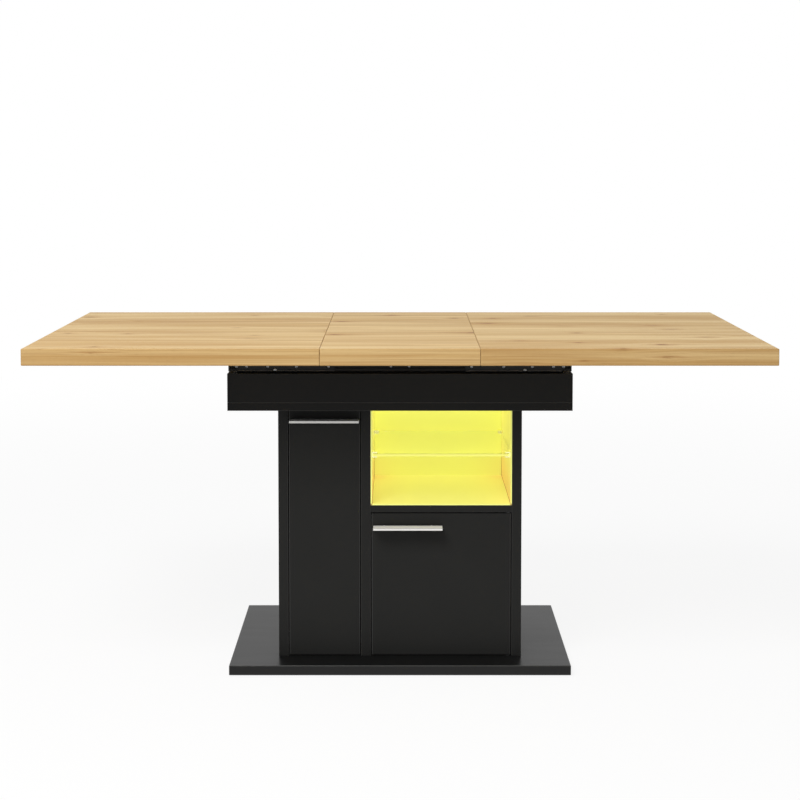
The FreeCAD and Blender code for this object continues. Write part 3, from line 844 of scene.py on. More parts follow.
@dataclass(frozen=True)
class Moulded(Finish):
    """Moulded plastic with a fine tool texture and a cloudy body."""

    dark: Colour = paint(20, 20, 20)
    light: Colour = paint(32, 32, 32)
    roughness: float = 0.45
    shine: float = 0.4
    texture: Pattern = even(1800)
    clouds: Pattern = even(60)
    dulling: float = 0.12
    relief_depth: float = 0.08 * MM

    def nodes(self, shader: Shader) -> None:
        """Builds the finish in an empty tree.

        Args:
            shader: The material's tree.
        """
        texture = self.texture.on(shader)
        shader.show(shader.surface({
            "Base Color": shader.blend(self.clouds.on(shader), self.dark, self.light),
            "Roughness": self.roughness + texture * self.dulling,
            "Specular IOR Level": self.shine,
            "Normal": shader.relief(texture, self.relief_depth),
        }))


@dataclass(frozen=True)
class Lining(Finish):
    """Lemon yellow panels that glow with painted light, with painted amber shade on the walls, low down
    and at the back of the floor, and painted shade in the seams.
    """

    # The lined space: its middle and half its width along X, and where its back and its floor are
    middle: float
    half: float
    rear: float
    floor: float

    lemon: Colour = paint(236, 240, 134)
    # Painted shade: the amber that the lining turns to where less white light falls
    amber: Colour = paint(226, 192, 114)
    # Painted shade: the brown in the corners where the panels meet
    brown: Colour = paint(150, 104, 58)
    # Painted light: the panels glow at this strength in their own colour, though they are no lamp
    glow: float = 0.333
    shine: float = 0.12
    roughness: float = 0.3
    dulling: float = 0.08

    # Where the painted amber shade sets in
    front: float = 20 * MM
    low_reach: float = 120 * MM
    low_full: float = 10 * MM
    corner_reach: float = 70 * MM
    facing: Turn = Turn(0.5, 0.9)

    # How much painted amber shade lies where; the clouds' share is random tone
    wall_warmth: float = 0.3
    low_warmth: float = 0.65
    floor_warmth: float = 0.2
    rear_warmth: float = 0.05
    corner_warmth: float = 0.35
    cloud_warmth: float = 0.06

    # The painted shade in the seams between the panels
    seam: float = 1.6 * MM
    seam_core: float = 0.64 * MM
    seam_share: float = 0.25
    low_seam_share: float = 0.5

    clouds: Pattern = even(9, 3.0)
    peel: Pattern = even(300)
    relief_depth: float = 0.05 * MM
    relief_share: float = 0.5

    def nodes(self, shader: Shader) -> None:
        """Builds the finish in an empty tree.

        Args:
            shader: The material's tree.
        """
        clouds = self.clouds.on(shader)
        x, y, z = shader.split(shader.spot())
        out = abs(x - self.middle)
        low = shader.step(z, self.floor + self.low_reach, self.floor + self.low_full)
        # Painted amber shade on the walls, low down and at the back, plus random tone
        amber_shade_and_tone = self._amber_shade(shader, out, y, low) + clouds * self.cloud_warmth
        colour = shader.blend(amber_shade_and_tone, self.lemon, self.amber)
        # Painted shade: brown in the seams, stronger low down
        seam = self._seam(shader, out, y, z) * (self.seam_share + low * self.low_seam_share)
        colour = shader.blend(seam, colour, self.brown)
        shader.show(shader.surface({
            "Base Color": colour,
            "Roughness": self.roughness + clouds * self.dulling,
            "Specular IOR Level": self.shine,
            # Painted light: the lining glows in its own colour
            "Emission Color": colour,
            "Emission Strength": self.glow,
            "Normal": shader.relief(self.peel.on(shader), self.relief_depth, self.relief_share),
        }))

    def _amber_shade(self, shader: Shader, out: Value, y: Value, low: Value) -> Value:
        """Finds the share of painted amber shade, on the walls and on the floor.

        Args:
            shader: The tree that is being built.
            out: How far the place is from the niche's middle.
            y: How far back it is.
            low: 1 near the floor and 0 higher up.

        Returns:
            The share of amber.
        """
        facing_x, _, facing_z = shader.facing()
        wall = self.facing.of(shader, abs(facing_x))
        floor = self.facing.of(shader, facing_z)
        depth = shader.step(y, self.front, self.rear)
        corner = shader.step(out, self.half - self.corner_reach, self.half) * self.corner_warmth
        on_wall = wall * (self.wall_warmth + low * self.low_warmth)
        return on_wall + floor * (depth * (corner + self.rear_warmth) + self.floor_warmth)

    def _seam(self, shader: Shader, out: Value, y: Value, z: Value) -> Value:
        """Finds the seams between the walls, the back and the floor, where shade is painted.

        Args:
            shader: The tree that is being built.
            out: How far the place is from the niche's middle.
            y: How far back it is.
            z: How high it is.

        Returns:
            1 in the seams and 0 elsewhere.
        """
        wide, core = self.seam, self.seam_core
        beside = shader.step(out, self.half - wide, self.half - core)
        behind = shader.step(y, self.rear - wide, self.rear - core)
        below = shader.step(z, self.floor + wide, self.floor + core)
        return beside * shader.greatest(behind, below)


@dataclass(frozen=True)
class Pane(Finish):
    """Clear flat glass with green polished edges, which lets lamps through; its front rim glows as a
    painted highlight.
    """

    clear: Colour = (0.97, 0.99, 0.95, 1.0)
    edge: Colour = (0.86, 0.97, 0.62, 1.0)
    # Painted highlight: the glow of the front rim, though the glass is no lamp
    lit: Colour = paint(254, 251, 122)
    glow: float = 0.93
    front: float = -100 * MM
    rear: float = 100 * MM
    rim_start: float = 0.5 * MM
    rim_flat: float = 0.7
    rim_upright: float = 0.3
    rear_clearness: float = 0.85
    bending: float = 1.5
    wiped: Pattern = Pattern((20, 6, 20), 3.0)
    roughness: float = 0.01
    dulling: float = 0.03
    relief_depth: float = 0.04 * MM
    relief_share: float = 0.3

    def nodes(self, shader: Shader) -> None:
        """Builds the finish in an empty tree.

        Args:
            shader: The material's tree.
        """
        _, y, _ = shader.split(shader.spot())
        rim = shader.sides(self.rim_flat, self.rim_upright)
        front = shader.step(y, self.front, self.front - self.rim_start) * rim
        rear = shader.step(y, self.rear, self.rear + self.rim_start) * rim
        wiped = self.wiped.on(shader)
        glass = shader.surface({
            "Base Color": shader.blend(rim, self.clear, self.edge),
            "Roughness": self.roughness + wiped * self.dulling,
            "IOR": self.bending,
            "Transmission Weight": 1.0,
            "Alpha": 1 - rear * self.rear_clearness,
            # Painted highlight: the front rim glows
            "Emission Color": shader.blend(front, BLACK, self.lit),
            "Emission Strength": self.glow,
            "Normal": shader.relief(wiped, self.relief_depth, self.relief_share),
        })
        through = shader.add("ShaderNodeBsdfTransparent", None, {"Color": self.clear})
        shadow = Value(shader, shader.add("ShaderNodeLightPath").outputs["Is Shadow Ray"])
        shader.show(shader.either(shadow, glass, through))


CHIP_SPACING = 16.7 * MM


@dataclass(frozen=True)
class Diffuser(Finish):
    """Opal cover over the light chips, brighter where each one shines through."""

    white: Colour = paint(250, 246, 226)
    grey: Colour = paint(226, 222, 204)
    grey_share: float = 0.2
    shade: Colour = paint(120, 112, 70)
    light: Colour = paint(255, 246, 214)
    spacing: float = CHIP_SPACING
    dim: float = 0.55
    glow: float = 1.6
    frost: Pattern = even(800, 1.0)
    roughness: float = 0.4
    dulling: float = 0.1

    def nodes(self, shader: Shader) -> None:
        """Builds the finish in an empty tree.

        Args:
            shader: The material's tree.
        """
        x, _, _ = shader.split(shader.spot())
        frost = self.frost.on(shader)
        lit = self.dim + (shader.wave(x, self.spacing) * 0.5 + 0.5) * (1 - self.dim)
        shader.show(shader.surface({
            "Base Color": shader.blend(frost * self.grey_share, self.white, self.grey),
            "Roughness": self.roughness + frost * self.dulling,
            "Emission Color": shader.blend(lit, self.shade, self.light),
            "Emission Strength": self.glow,
        }))


@dataclass(frozen=True)
class Circuit(Finish):
    """White flexible circuit with copper pads between its light chips."""

    white: Colour = paint(236, 234, 226)
    soiled: Colour = paint(214, 210, 196)
    soiled_share: float = 0.3
    copper: Colour = paint(186, 120, 70)
    copper_metallic: float = 0.9
    spacing: float = CHIP_SPACING
    row_spacing: float = 4 * MM
    pad_ends: Turn = Turn(-0.93, -0.97)
    pad_sides: Turn = Turn(0.1, 0.3)
    grime: Pattern = even(200)
    roughness: float = 0.4
    dulling: float = 0.1

    def nodes(self, shader: Shader) -> None:
        """Builds the finish in an empty tree.

        Args:
            shader: The material's tree.
        """
        x, y, _ = shader.split(shader.spot())
        ends = self.pad_ends.of(shader, shader.wave(x, self.spacing))
        pads = ends * self.pad_sides.of(shader, shader.wave(y, self.row_spacing))
        grime = self.grime.on(shader)
        colour = shader.blend(grime * self.soiled_share, self.white, self.soiled)
        shader.show(shader.surface({
            "Base Color": shader.blend(pads, colour, self.copper),
            "Metallic": pads * self.copper_metallic,
            "Roughness": self.roughness + grime * self.dulling,
        }))


@dataclass(frozen=True)
class Phosphor(Finish):
    """Yellow phosphor of a light chip in its white body."""

    yellow: Colour = paint(255, 214, 96)
    cream: Colour = paint(255, 236, 160)
    cream_share: float = 0.4
    glow: float = 2.0
    grains: Pattern = even(4000, 1.0)
    roughness: float = 0.5

    def nodes(self, shader: Shader) -> None:
        """Builds the finish in an empty tree.

        Args:
            shader: The material's tree.
        """
        colour = shader.blend(self.grains.on(shader) * self.cream_share, self.yellow, self.cream)
        shader.show(shader.surface({
            "Base Color": colour,
            "Roughness": self.roughness,
            "Emission Color": colour,
            "Emission Strength": self.glow,
        }))


# The hem's bends are painted paler still, a painted highlight along the runners' lower edges
HEM = Coat(painted_bend_light=paint(100, 101, 103))
ZINC = Metal(
    paint(176, 178, 180), paint(140, 142, 142), 0.34, 0.2, lines=Pattern((300, 300, 300), 3.0, 0.6)
)
# Painted shade: the handles' rounded bends are painted darker, a painted dark reflection
SATIN = Metal(
    paint(234, 233, 230), paint(222, 221, 217), 0.6, 0.12, metallic=0.08, painted_bend_share=0.9
)
# Painted reflection: the chrome is tinted pale yellow as if it reflected the lit lining
CHROME = Metal(
    paint(255, 252, 198),
    paint(246, 243, 186),
    roughness=0.2,
    spread=0.08,
    lines=Pattern((400, 400, 400), 3.0, 0.6),
    metallic=0.95,
)
ALUMINIUM = Metal(paint(206, 206, 204), paint(188, 188, 186), roughness=0.36, spread=0.12)
NYLON = Moulded(paint(206, 203, 192), paint(222, 219, 208), roughness=0.4, shine=0.45)

# The usual finishes; the niche's lining has its own, fitted to its space
FINISHES: dict[Slot, Finish] = {
    Slot.BOARD: Lacquer(),
    Slot.OAK: Oak(),
    Slot.GLIDE: Moulded(),
    Slot.BLACK_STEEL: Coat(),
    Slot.ZINC: ZINC,
    Slot.HANDLE: SATIN,
    Slot.CHROME: CHROME,
    Slot.GLASS: Pane(),
    Slot.PROFILE: ALUMINIUM,
    Slot.STRIP: Circuit(),
    Slot.DIFFUSER: Diffuser(),
    Slot.BLACK_PLASTIC: Moulded(),
    Slot.NYLON: NYLON,
}


# Meshes


def mesh_object(name: str, mesh: bpy.types.Mesh) -> bpy.types.Object:
    """Puts a mesh in the scene.

    Args:
        name: The object's name.
        mesh: Its mesh.

    Returns:
        The new object, at the origin.
    """
    made = bpy.data.objects.new(name, mesh)
    bpy.context.scene.collection.objects.link(made)
    return made


def lathe(name: str, rings: list[list[Vector]], sharp: float = 35.0) -> bpy.types.Object:
    """Skins rings of points and closes both ends.

    Args:
        name: The object's name.
        rings: Rings with equally many points, each turning the same way, from one end to the other.
        sharp: The angle in degrees from which an edge stays sharp.

    Returns:
        The closed solid.
    """
    work = bmesh.new()
    loops = [[work.verts.new(point) for point in ring] for ring in rings]
    count = len(loops[0])
    for lower, upper in zip(loops, loops[1:]):
        for here in range(count):
            following = (here + 1) % count
            work.faces.new((lower[here], lower[following], upper[following], upper[here]))
    for loop in (loops[0], loops[-1]):
        middle = work.verts.new(sum((vertex.co for vertex in loop), Vector()) / count)
        for here in range(count):
            work.faces.new((loop[here], loop[(here + 1) % count], middle))
    bmesh.ops.recalc_face_normals(work, faces=work.faces)
    mesh = bpy.data.meshes.new(name)
    work.to_mesh(mesh)
    work.free()
    mesh.shade_smooth()
    mesh.set_sharp_from_angle(angle=math.radians(sharp))
    return mesh_object(name, mesh)


Outline = tuple[tuple[float, float], ...]

# By how many radians two angles may differ and still count as the same
ANGLE_PLAY = 1e-6

# The sides of the heads, as shares of their radius outwards and up
PAN_SIDE: Outline = ((0.9, -0.1), (1.0, 0.1), (1.0, 0.28), (0.9, 0.5), (0.7, 0.62))
FLUSH_SIDE: Outline = ((0.55, -0.3), (0.98, 0.0), (1.0, 0.04), (0.96, 0.08))
LOCK_SIDE: Outline = ((0.4, -0.75), (0.45, -0.02), (1.0, 0.0), (1.0, 0.4), (0.92, 0.6), (0.76, 0.72))
CAM_SIDE: Outline = ((1.0, -0.12), (1.0, 0.04), (0.94, 0.08), (0.86, 0.05))


@dataclass(frozen=True)
class Head:
    """A screw's head with a cross recess. All its sizes but the radius are shares of the radius."""

    name: str = "pan"
    radius: float = 3.4 * MM
    side: Outline = PAN_SIDE
    crown: float = 0.68
    arm: float = 0.56
    arm_width: float = 0.15
    pit: float = 0.42
    pit_taper: float = 0.5

    def build(self) -> bpy.types.Object:
        """Makes the head, standing on the XY plane with its recess up.

        Returns:
            The head's object.
        """
        angles = self._angles()
        cross = [self._cross(angle) for angle in angles]
        rings = [self._ring(angles, [share] * len(angles), height) for share, height in self.side]
        rings.append(self._ring(angles, cross, self.crown))
        deep = [reach * self.pit_taper for reach in cross]
        rings.append(self._ring(angles, deep, self.crown - self.pit))
        return lathe(self.name, rings)

    def _angles(self) -> list[float]:
        """Lists the angles that the cross needs.

        Returns:
            The angles all round, in radians.
        """
        corner = math.atan2(self.arm_width, self.arm)
        steps = (0.0, corner, QUARTER / 3, QUARTER / 2, QUARTER * 2 / 3, QUARTER - corner)
        return [turn * QUARTER + step for turn in range(4) for step in steps]

    def _cross(self, angle: float) -> float:
        """Finds how far the cross reaches.

        Args:
            angle: The angle that is asked for, in radians.

        Returns:
            The reach there, as a share of the radius.
        """
        across = angle % QUARTER
        across = min(across, QUARTER - across)
        if across <= math.atan2(self.arm_width, self.arm) + ANGLE_PLAY:
            return self.arm / math.cos(across)
        return self.arm_width / math.sin(across)

    def _ring(self, angles: list[float], shares: list[float], height: float) -> list[Vector]:
        """Lays out one ring of points.

        Args:
            angles: The points' angles, in radians.
            shares: How far out each one is, as a share of the radius.
            height: How high they all are, as a share of it.

        Returns:
            The points.
        """
        return [
            Vector((math.cos(angle) * share, math.sin(angle) * share, height)) * self.radius
            for angle, share in zip(angles, shares)
        ]


PAN = Head()
BACK_PAN = Head("back_pan", 3.0 * MM)
CATCH_PAN = Head("catch_pan", 2.4 * MM)
FLUSH = Head("flush", 3.6 * MM, FLUSH_SIDE, crown=0.08, arm=0.6, arm_width=0.16, pit=0.3)
STRIKE_FLUSH = Head("strike", 2.2 * MM, FLUSH_SIDE, crown=0.08)
LOCK = Head("lock", 3.9 * MM, LOCK_SIDE, crown=0.76, arm=0.5)
CAM = Head("cam", 7.0 * MM, CAM_SIDE, crown=0.05, arm=0.5, arm_width=0.13, pit=0.15)


@dataclass(frozen=True)
class Place:
    """Where a screw's head sits, and the way it faces."""

    spot: Vector
    way: Way


def head_places(xs: list[float], ys: list[float], zs: list[float], way: Way) -> list[Place]:
    """Lays heads out on a grid.

    Args:
        xs: Places along X.
        ys: Places along Y.
        zs: Places along Z.
        way: The way that all of them face.

    Returns:
        One place for each crossing of the grid.
    """
    return [Place(Vector((x, y, z)), way) for x in xs for y in ys for z in zs]


class Tool:
    """A Geometry Nodes tree with named inputs, which makes a plain mesh."""

    def __init__(self, name: str, inputs: dict[str, str]) -> None:
        """Makes the tree's inputs and its output, then its nodes.

        Args:
            name: The tree's name.
            inputs: The type of each named input's socket.
        """
        tree = bpy.data.node_groups.new(name, "GeometryNodeTree")
        self.keys = {}
        for label, kind in inputs.items():
            socket = tree.interface.new_socket(label, in_out="INPUT", socket_type=kind)
            self.keys[label] = socket.identifier
        tree.interface.new_socket("Result", in_out="OUTPUT", socket_type="NodeSocketGeometry")
        self.graph = Graph(tree)
        self.given = self.graph.add("NodeGroupInput").outputs
        self.draw()

    def draw(self) -> None:
        """Adds the tree's own nodes."""
        raise NotImplementedError

    def set_on(self, points: bpy.types.NodeSocket, rotation: bpy.types.NodeSocket | Triple) -> None:
        """Sets the shape on every point and closes the tree.

        Args:
            points: The points' geometry.
            rotation: How each copy is turned.
        """
        shape = self.graph.add(
            "GeometryNodeObjectInfo", None, {"Object": self.given["Shape"], "As Instance": True}
        ).outputs["Geometry"]
        sockets = {"Points": points, "Instance": shape, "Rotation": rotation}
        copies = self.graph.add("GeometryNodeInstanceOnPoints", None, sockets).outputs[0]
        real = self.graph.add("GeometryNodeRealizeInstances", None, {"Geometry": copies}).outputs[0]
        sockets = {"Geometry": real, "Material": self.given["Finish"]}
        painted = self.graph.add("GeometryNodeSetMaterial", None, sockets).outputs[0]
        self.graph.add("NodeGroupOutput", None, {"Result": painted})

    def run(self, name: str, start: bpy.types.Mesh, inputs: dict) -> bpy.types.Object:
        """Runs the tree once and keeps its result.

        Args:
            name: The piece's name.
            start: The mesh that the tree starts from.
            inputs: The value of each named input.

        Returns:
            The piece, as a plain mesh at the origin.
        """
        piece = mesh_object(name, start)
        modifier = piece.modifiers.new("tool", "NODES")
        modifier.node_group = self.graph.tree
        for label, value in inputs.items():
            modifier[self.keys[label]] = value
        depsgraph = bpy.context.evaluated_depsgraph_get()
        plain = bpy.data.meshes.new_from_object(piece.evaluated_get(depsgraph), depsgraph=depsgraph)
        piece.modifiers.clear()
        piece.data = plain
        plain.name = name
        return piece


class HeadSetter(Tool):
    """Sets one head on every point, turned the point's way and spun at random."""

    # The numbers of a Random Value node's sockets for plain numbers
    RANDOM_LEAST = 2
    RANDOM_MOST = 3
    RANDOM_RESULT = 1

    def __init__(self) -> None:
        """Makes the tree."""
        super().__init__("set_heads", {
            "Points": "NodeSocketGeometry",
            "Shape": "NodeSocketObject",
            "Seed": "NodeSocketInt",
            "Finish": "NodeSocketMaterial",
        })

    def draw(self) -> None:
        """Adds the tree's own nodes."""
        add = self.graph.add
        way = add("GeometryNodeInputNamedAttribute", {"data_type": "FLOAT_VECTOR"}, {"Name": FACING})
        sockets = {"Vector": way.outputs["Attribute"]}
        aligned = add("FunctionNodeAlignRotationToVector", {"axis": "Z"}, sockets)
        sockets = {self.RANDOM_LEAST: 0.0, self.RANDOM_MOST: math.tau, "Seed": self.given["Seed"]}
        angle = add("FunctionNodeRandomValue", {"data_type": "FLOAT"}, sockets)
        sockets = {"Axis": Way.UP.value, "Angle": angle.outputs[self.RANDOM_RESULT]}
        spin = add("FunctionNodeAxisAngleToRotation", None, sockets)
        sockets = {"Rotation": aligned.outputs[0], "Rotate By": spin.outputs[0]}
        turned = add("FunctionNodeRotateRotation", {"rotation_space": "LOCAL"}, sockets)
        self.set_on(self.given["Points"], turned.outputs[0])

    def heads(
        self, name: str, places: list[Place], head: Head, material: bpy.types.Material, seed: int
    ) -> bpy.types.Object:
        """Makes one body's heads of one kind.

        Args:
            name: The piece's name.
            places: Where the heads sit.
            head: What they look like.
            material: What they are made of.
            seed: The seed of their random spin.

        Returns:
            The piece.
        """
        points = bpy.data.meshes.new(name)
        points.from_pydata([place.spot for place in places], [], [])
        facing = points.attributes.new(FACING, "FLOAT_VECTOR", "POINT")
        for item, place in zip(facing.data, places):
            item.vector = place.way.value
        shape = head.build()
        piece = self.run(name, points, {"Shape": shape, "Seed": seed, "Finish": material})
        bpy.data.objects.remove(shape)
        return piece


class Row(Tool):
    """Repeats a shape along a straight line."""

    def __init__(self) -> None:
        """Makes the tree."""
        super().__init__("row", {
            "Start mesh": "NodeSocketGeometry",
            "Shape": "NodeSocketObject",
            "Count": "NodeSocketInt",
            "Start": "NodeSocketVector",
            "Spacing": "NodeSocketFloat",
            "Finish": "NodeSocketMaterial",
        })

    def draw(self) -> None:
        """Adds the tree's own nodes."""
        offset = self.graph.add("ShaderNodeCombineXYZ", None, {0: self.given["Spacing"]}).outputs[0]
        sockets = {"Count": self.given["Count"], "Start Location": self.given["Start"], "Offset": offset}
        line = self.graph.add("GeometryNodeMeshLine", None, sockets).outputs[0]
        self.set_on(line, (0.0, 0.0, 0.0))


# The shop that every sub-assembly works in


@dataclass(frozen=True)
class Box:
    """A node's lowest and highest corners."""

    low: Vector
    high: Vector

    @property
    def middle(self) -> Vector:
        """Returns the centre."""
        return (self.low + self.high) / 2


class Workshop:
    """Holds the frame, its finishes and the tools."""

    def __init__(self, loaded: dict) -> None:
        """Reads which slot each node has.

        Args:
            loaded: What the frame's loader returned.
        """
        self.nodes = loaded["nodes"]
        self.slots = {part["node"]: Slot(part["material_slot"]) for part in loaded["record"]["subparts"]}
        self.materials: dict[str, bpy.types.Material] = {}
        self.dressed: set[str] = set()
        self.setter = HeadSetter()
        self.row = Row()
        self.seed = 0

    def box(self, node: str) -> Box:
        """Returns a node's box at rest."""
        return Box(*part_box(node))

    def middles(self, nodes: tuple[str, ...]) -> list[float]:
        """Returns where the middle of each node is along X."""
        return [self.box(node).middle.x for node in nodes]

    def material(self, slot: Slot, name: str = "", finish: Finish | None = None) -> bpy.types.Material:
        """Finds or makes a material.

        Args:
            slot: The slot whose finish it is.
            name: A name of its own, where it isn't the slot's.
            finish: A finish of its own, where it isn't the slot's usual one.

        Returns:
            The material.
        """
        key = name or slot.value
        if key not in self.materials:
            self.materials[key] = (finish or FINISHES[slot]).material(key)
        return self.materials[key]

    def dress(self, node: str, name: str = "", finish: Finish | None = None) -> None:
        """Gives a node its material.

        Args:
            node: The node's name.
            name: The material's own name, where it isn't the slot's.
            finish: The material's own finish, where it isn't the slot's usual one.
        """
        held = self.nodes[node]
        held.data.materials.clear()
        held.data.materials.append(self.material(self.slots[node], name, finish))
        self.dressed.add(node)
        LOG.info("dressed %s", node)

    def keep(self, piece: bpy.types.Object, body: Body) -> bpy.types.Object:
        """Makes a new piece ride on its body.

        Args:
            piece: The finished piece.
            body: The body that carries it.

        Returns:
            The same piece.
        """
        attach(piece, body.value)
        LOG.info("built %s on %s", piece.name, body.value)
        return piece

    def screws(
        self, name: str, body: Body, places: list[Place], head: Head = PAN, slot: Slot = Slot.ZINC
    ) -> bpy.types.Object:
        """Sets one kind of screw on a body.

        Args:
            name: The piece's name.
            body: The body that carries it.
            places: Where the heads sit.
            head: What they look like.
            slot: What they are made of.

        Returns:
            The piece.
        """
        self.seed += 1
        piece = self.setter.heads(name, places, head, self.material(slot), self.seed)
        return self.keep(piece, body)


def both(*values: float) -> list[float]:
    """Returns each number's two mirror images."""
    return [image for value in values for image in (-value, value)]


# Sub-assemblies


UPRIGHTS = ("side_panel_left", "divider_panel", "side_panel_right")
BOSS_PITCH = 107 * MM


def behind_handle(front: Box, handle: Box) -> list[Place]:
    """Places the screws behind the two bosses of a handle.

    Args:
        front: The board that the handle is on.
        handle: The handle.

    Returns:
        One place for each boss, on the board's back.
    """
    xs = [handle.middle.x + x for x in both(BOSS_PITCH / 2)]
    return head_places(xs, [front.high.y], [handle.middle.z], Way.BACK)


@dataclass
class Base:
    """The plinth board on its glides."""

    # Painted highlight: the plinth's rounded edges and, by a share, its upright faces are painted paler
    plinth: Lacquer = Lacquer(
        paint(17, 17, 17), paint(21, 21, 21), paint(72, 72, 71), roughness=0.34, shine=0.16, upright_highlight=0.15
    )
    screw_rows: tuple[float, ...] = (-120 * MM, 0.0, 120 * MM)

    def build(self, shop: Workshop) -> None:
        """Dresses the plinth and sets the screws that hold the cabinet's boards.

        Args:
            shop: The workshop.
        """
        shop.dress("base_board", "plinth_lacquer", self.plinth)
        shop.dress("base_glides")
        under = shop.box("base_board").low.z
        places = head_places(shop.middles(UPRIGHTS), list(self.screw_rows), [under], Way.DOWN)
        shop.screws("base_screws", Body.CARCASS, places, FLUSH)


@dataclass
class Cabinet:
    """The upright boards, the low cupboard's shelf and the back."""

    nodes: tuple[str, ...] = (
        "side_panel_left", "side_panel_right", "divider_panel", "back_panel", "niche_floor", "inner_shelf",
        "shelf_pins", "magnetic_catch", "pivot_bushes", "pullout_channels", "pullout_channel_caps",
    )
    back_rows: int = 6
    back_margin: float = 25 * MM
    back_edge: float = 8 * MM
    catch_screw_inset: float = 8 * MM
    cam_inset: float = 24 * MM
    cam_y: float = 110 * MM

    def build(self, shop: Workshop) -> None:
        """Dresses the boards and sets their screws.

        Args:
            shop: The workshop.
        """
        for node in self.nodes:
            shop.dress(node)
        self._back_screws(shop)
        self._cams(shop)
        catch = shop.box("magnetic_catch")
        levels = [catch.low.z + self.catch_screw_inset, catch.high.z - self.catch_screw_inset]
        places = head_places([catch.high.x], [catch.middle.y], levels, Way.RIGHT)
        shop.screws("catch_screws", Body.CARCASS, places, CATCH_PAN)

    def _back_screws(self, shop: Workshop) -> None:
        """Sets the screws round the back panel.

        Args:
            shop: The workshop.
        """
        back = shop.box("back_panel")
        divider = shop.box("divider_panel").middle.x
        first, last = back.low.z + self.back_margin, back.high.z - self.back_margin
        levels = [first + (last - first) * row / (self.back_rows - 1) for row in range(self.back_rows)]
        edges = [back.low.x + self.back_edge, divider, back.high.x - self.back_edge]
        places = head_places(edges, [back.high.y], levels, Way.BACK)
        floor = shop.box("niche_floor")
        places += head_places([floor.middle.x], [back.high.y], [floor.middle.z], Way.BACK)
        shop.screws("back_screws", Body.CARCASS, places, BACK_PAN)

    def _cams(self, shop: Workshop) -> None:
        """Sets the cam locks under the board that carries the niche.

        Args:
            shop: The workshop.
        """
        floor = shop.box("niche_floor")
        xs = [floor.low.x + self.cam_inset, floor.high.x - self.cam_inset]
        places = head_places(xs, both(self.cam_y), [floor.low.z], Way.DOWN)
        shop.screws("cam_locks", Body.CARCASS, places, CAM)


@dataclass
class Niche:
    """The lit niche: its lining, glass shelf, clips and light."""

    nodes: tuple[str, ...] = (
        "niche_lining_back", "niche_lining_ceiling", "niche_lining_floor", "niche_lining_left",
        "niche_lining_right", "glass_shelf", "glass_shelf_clips", "light_diffuser", "light_profile",
        "light_strip", "power_inlet",
    )
    chip_radius: float = 1.82 * MM
    chip_height: float = 0.7 * MM
    chip_corner: float = 12.0
    chip_side: Outline = ((1.0, 0.0), (1.0, -0.6), (0.8, -0.85), (0.5, -1.0))
    lamp_depth: float = 12 * MM
    lamp_gap: float = 1.5 * MM
    lamp_watts: float = 0.045
    lamp_colour: Triple = (1.0, 0.97, 0.86)

    def build(self, shop: Workshop) -> None:
        """Dresses the niche and adds the light's chips and lamp.

        Args:
            shop: The workshop.
        """
        lining = self._lining(shop)
        for node in self.nodes:
            shop.dress(node, finish=lining if node.startswith("niche_lining") else None)
        self._chips(shop)
        self._lamp(shop)

    def _lining(self, shop: Workshop) -> Lining:
        """Fits the lining's finish to the space between the panels.

        Args:
            shop: The workshop.

        Returns:
            The finish.
        """
        near, far = shop.box("niche_lining_left").high.x, shop.box("niche_lining_right").low.x
        return Lining(
            middle=(near + far) / 2,
            half=(far - near) / 2,
            rear=shop.box("niche_lining_back").low.y,
            floor=shop.box("niche_lining_floor").high.z,
        )

    def _chips(self, shop: Workshop) -> None:
        """Sets a row of chips along the light's strip.

        Args:
            shop: The workshop.
        """
        strip = shop.box("light_strip")
        length = strip.high.x - strip.low.x
        count = int(length / CHIP_SPACING)
        start = strip.middle.x - (count - 1) * CHIP_SPACING / 2
        material = shop.material(Slot.STRIP, "phosphor", Phosphor())
        shape = self._chip()
        piece = shop.row.run("light_chips", bpy.data.meshes.new("light_chips"), {
            "Shape": shape,
            "Count": count,
            "Start": (start, strip.middle.y, strip.low.z),
            "Spacing": CHIP_SPACING,
            "Finish": material,
        })
        bpy.data.objects.remove(shape)
        shop.keep(piece, Body.CARCASS)

    def _chip(self) -> bpy.types.Object:
        """Makes one chip, hanging under its place with blunt corners and a rounded face.

        Returns:
            The chip's object.
        """
        blunt = math.radians(self.chip_corner)
        turns = [QUARTER * (turn + 0.5) + side for turn in range(4) for side in both(blunt)]
        rings = []
        for share, level in self.chip_side:
            reach, height = self.chip_radius * share, self.chip_height * level
            rings.append([Vector((math.cos(a) * reach, math.sin(a) * reach, height)) for a in turns])
        return lathe("chip", rings)

    def _lamp(self, shop: Workshop) -> None:
        """Hangs the niche's own lamp under the diffuser.

        Args:
            shop: The workshop.
        """
        cover = shop.box("light_diffuser")
        light = bpy.data.lights.new("niche_lamp", "AREA")
        light.shape = "RECTANGLE"
        light.size = cover.high.x - cover.low.x
        light.size_y = self.lamp_depth
        light.energy = self.lamp_watts
        light.color = self.lamp_colour
        lamp = bpy.data.objects.new("niche_lamp", light)
        lamp.location = (cover.middle.x, cover.middle.y, cover.low.z - self.lamp_gap)
        bpy.context.scene.collection.objects.link(lamp)


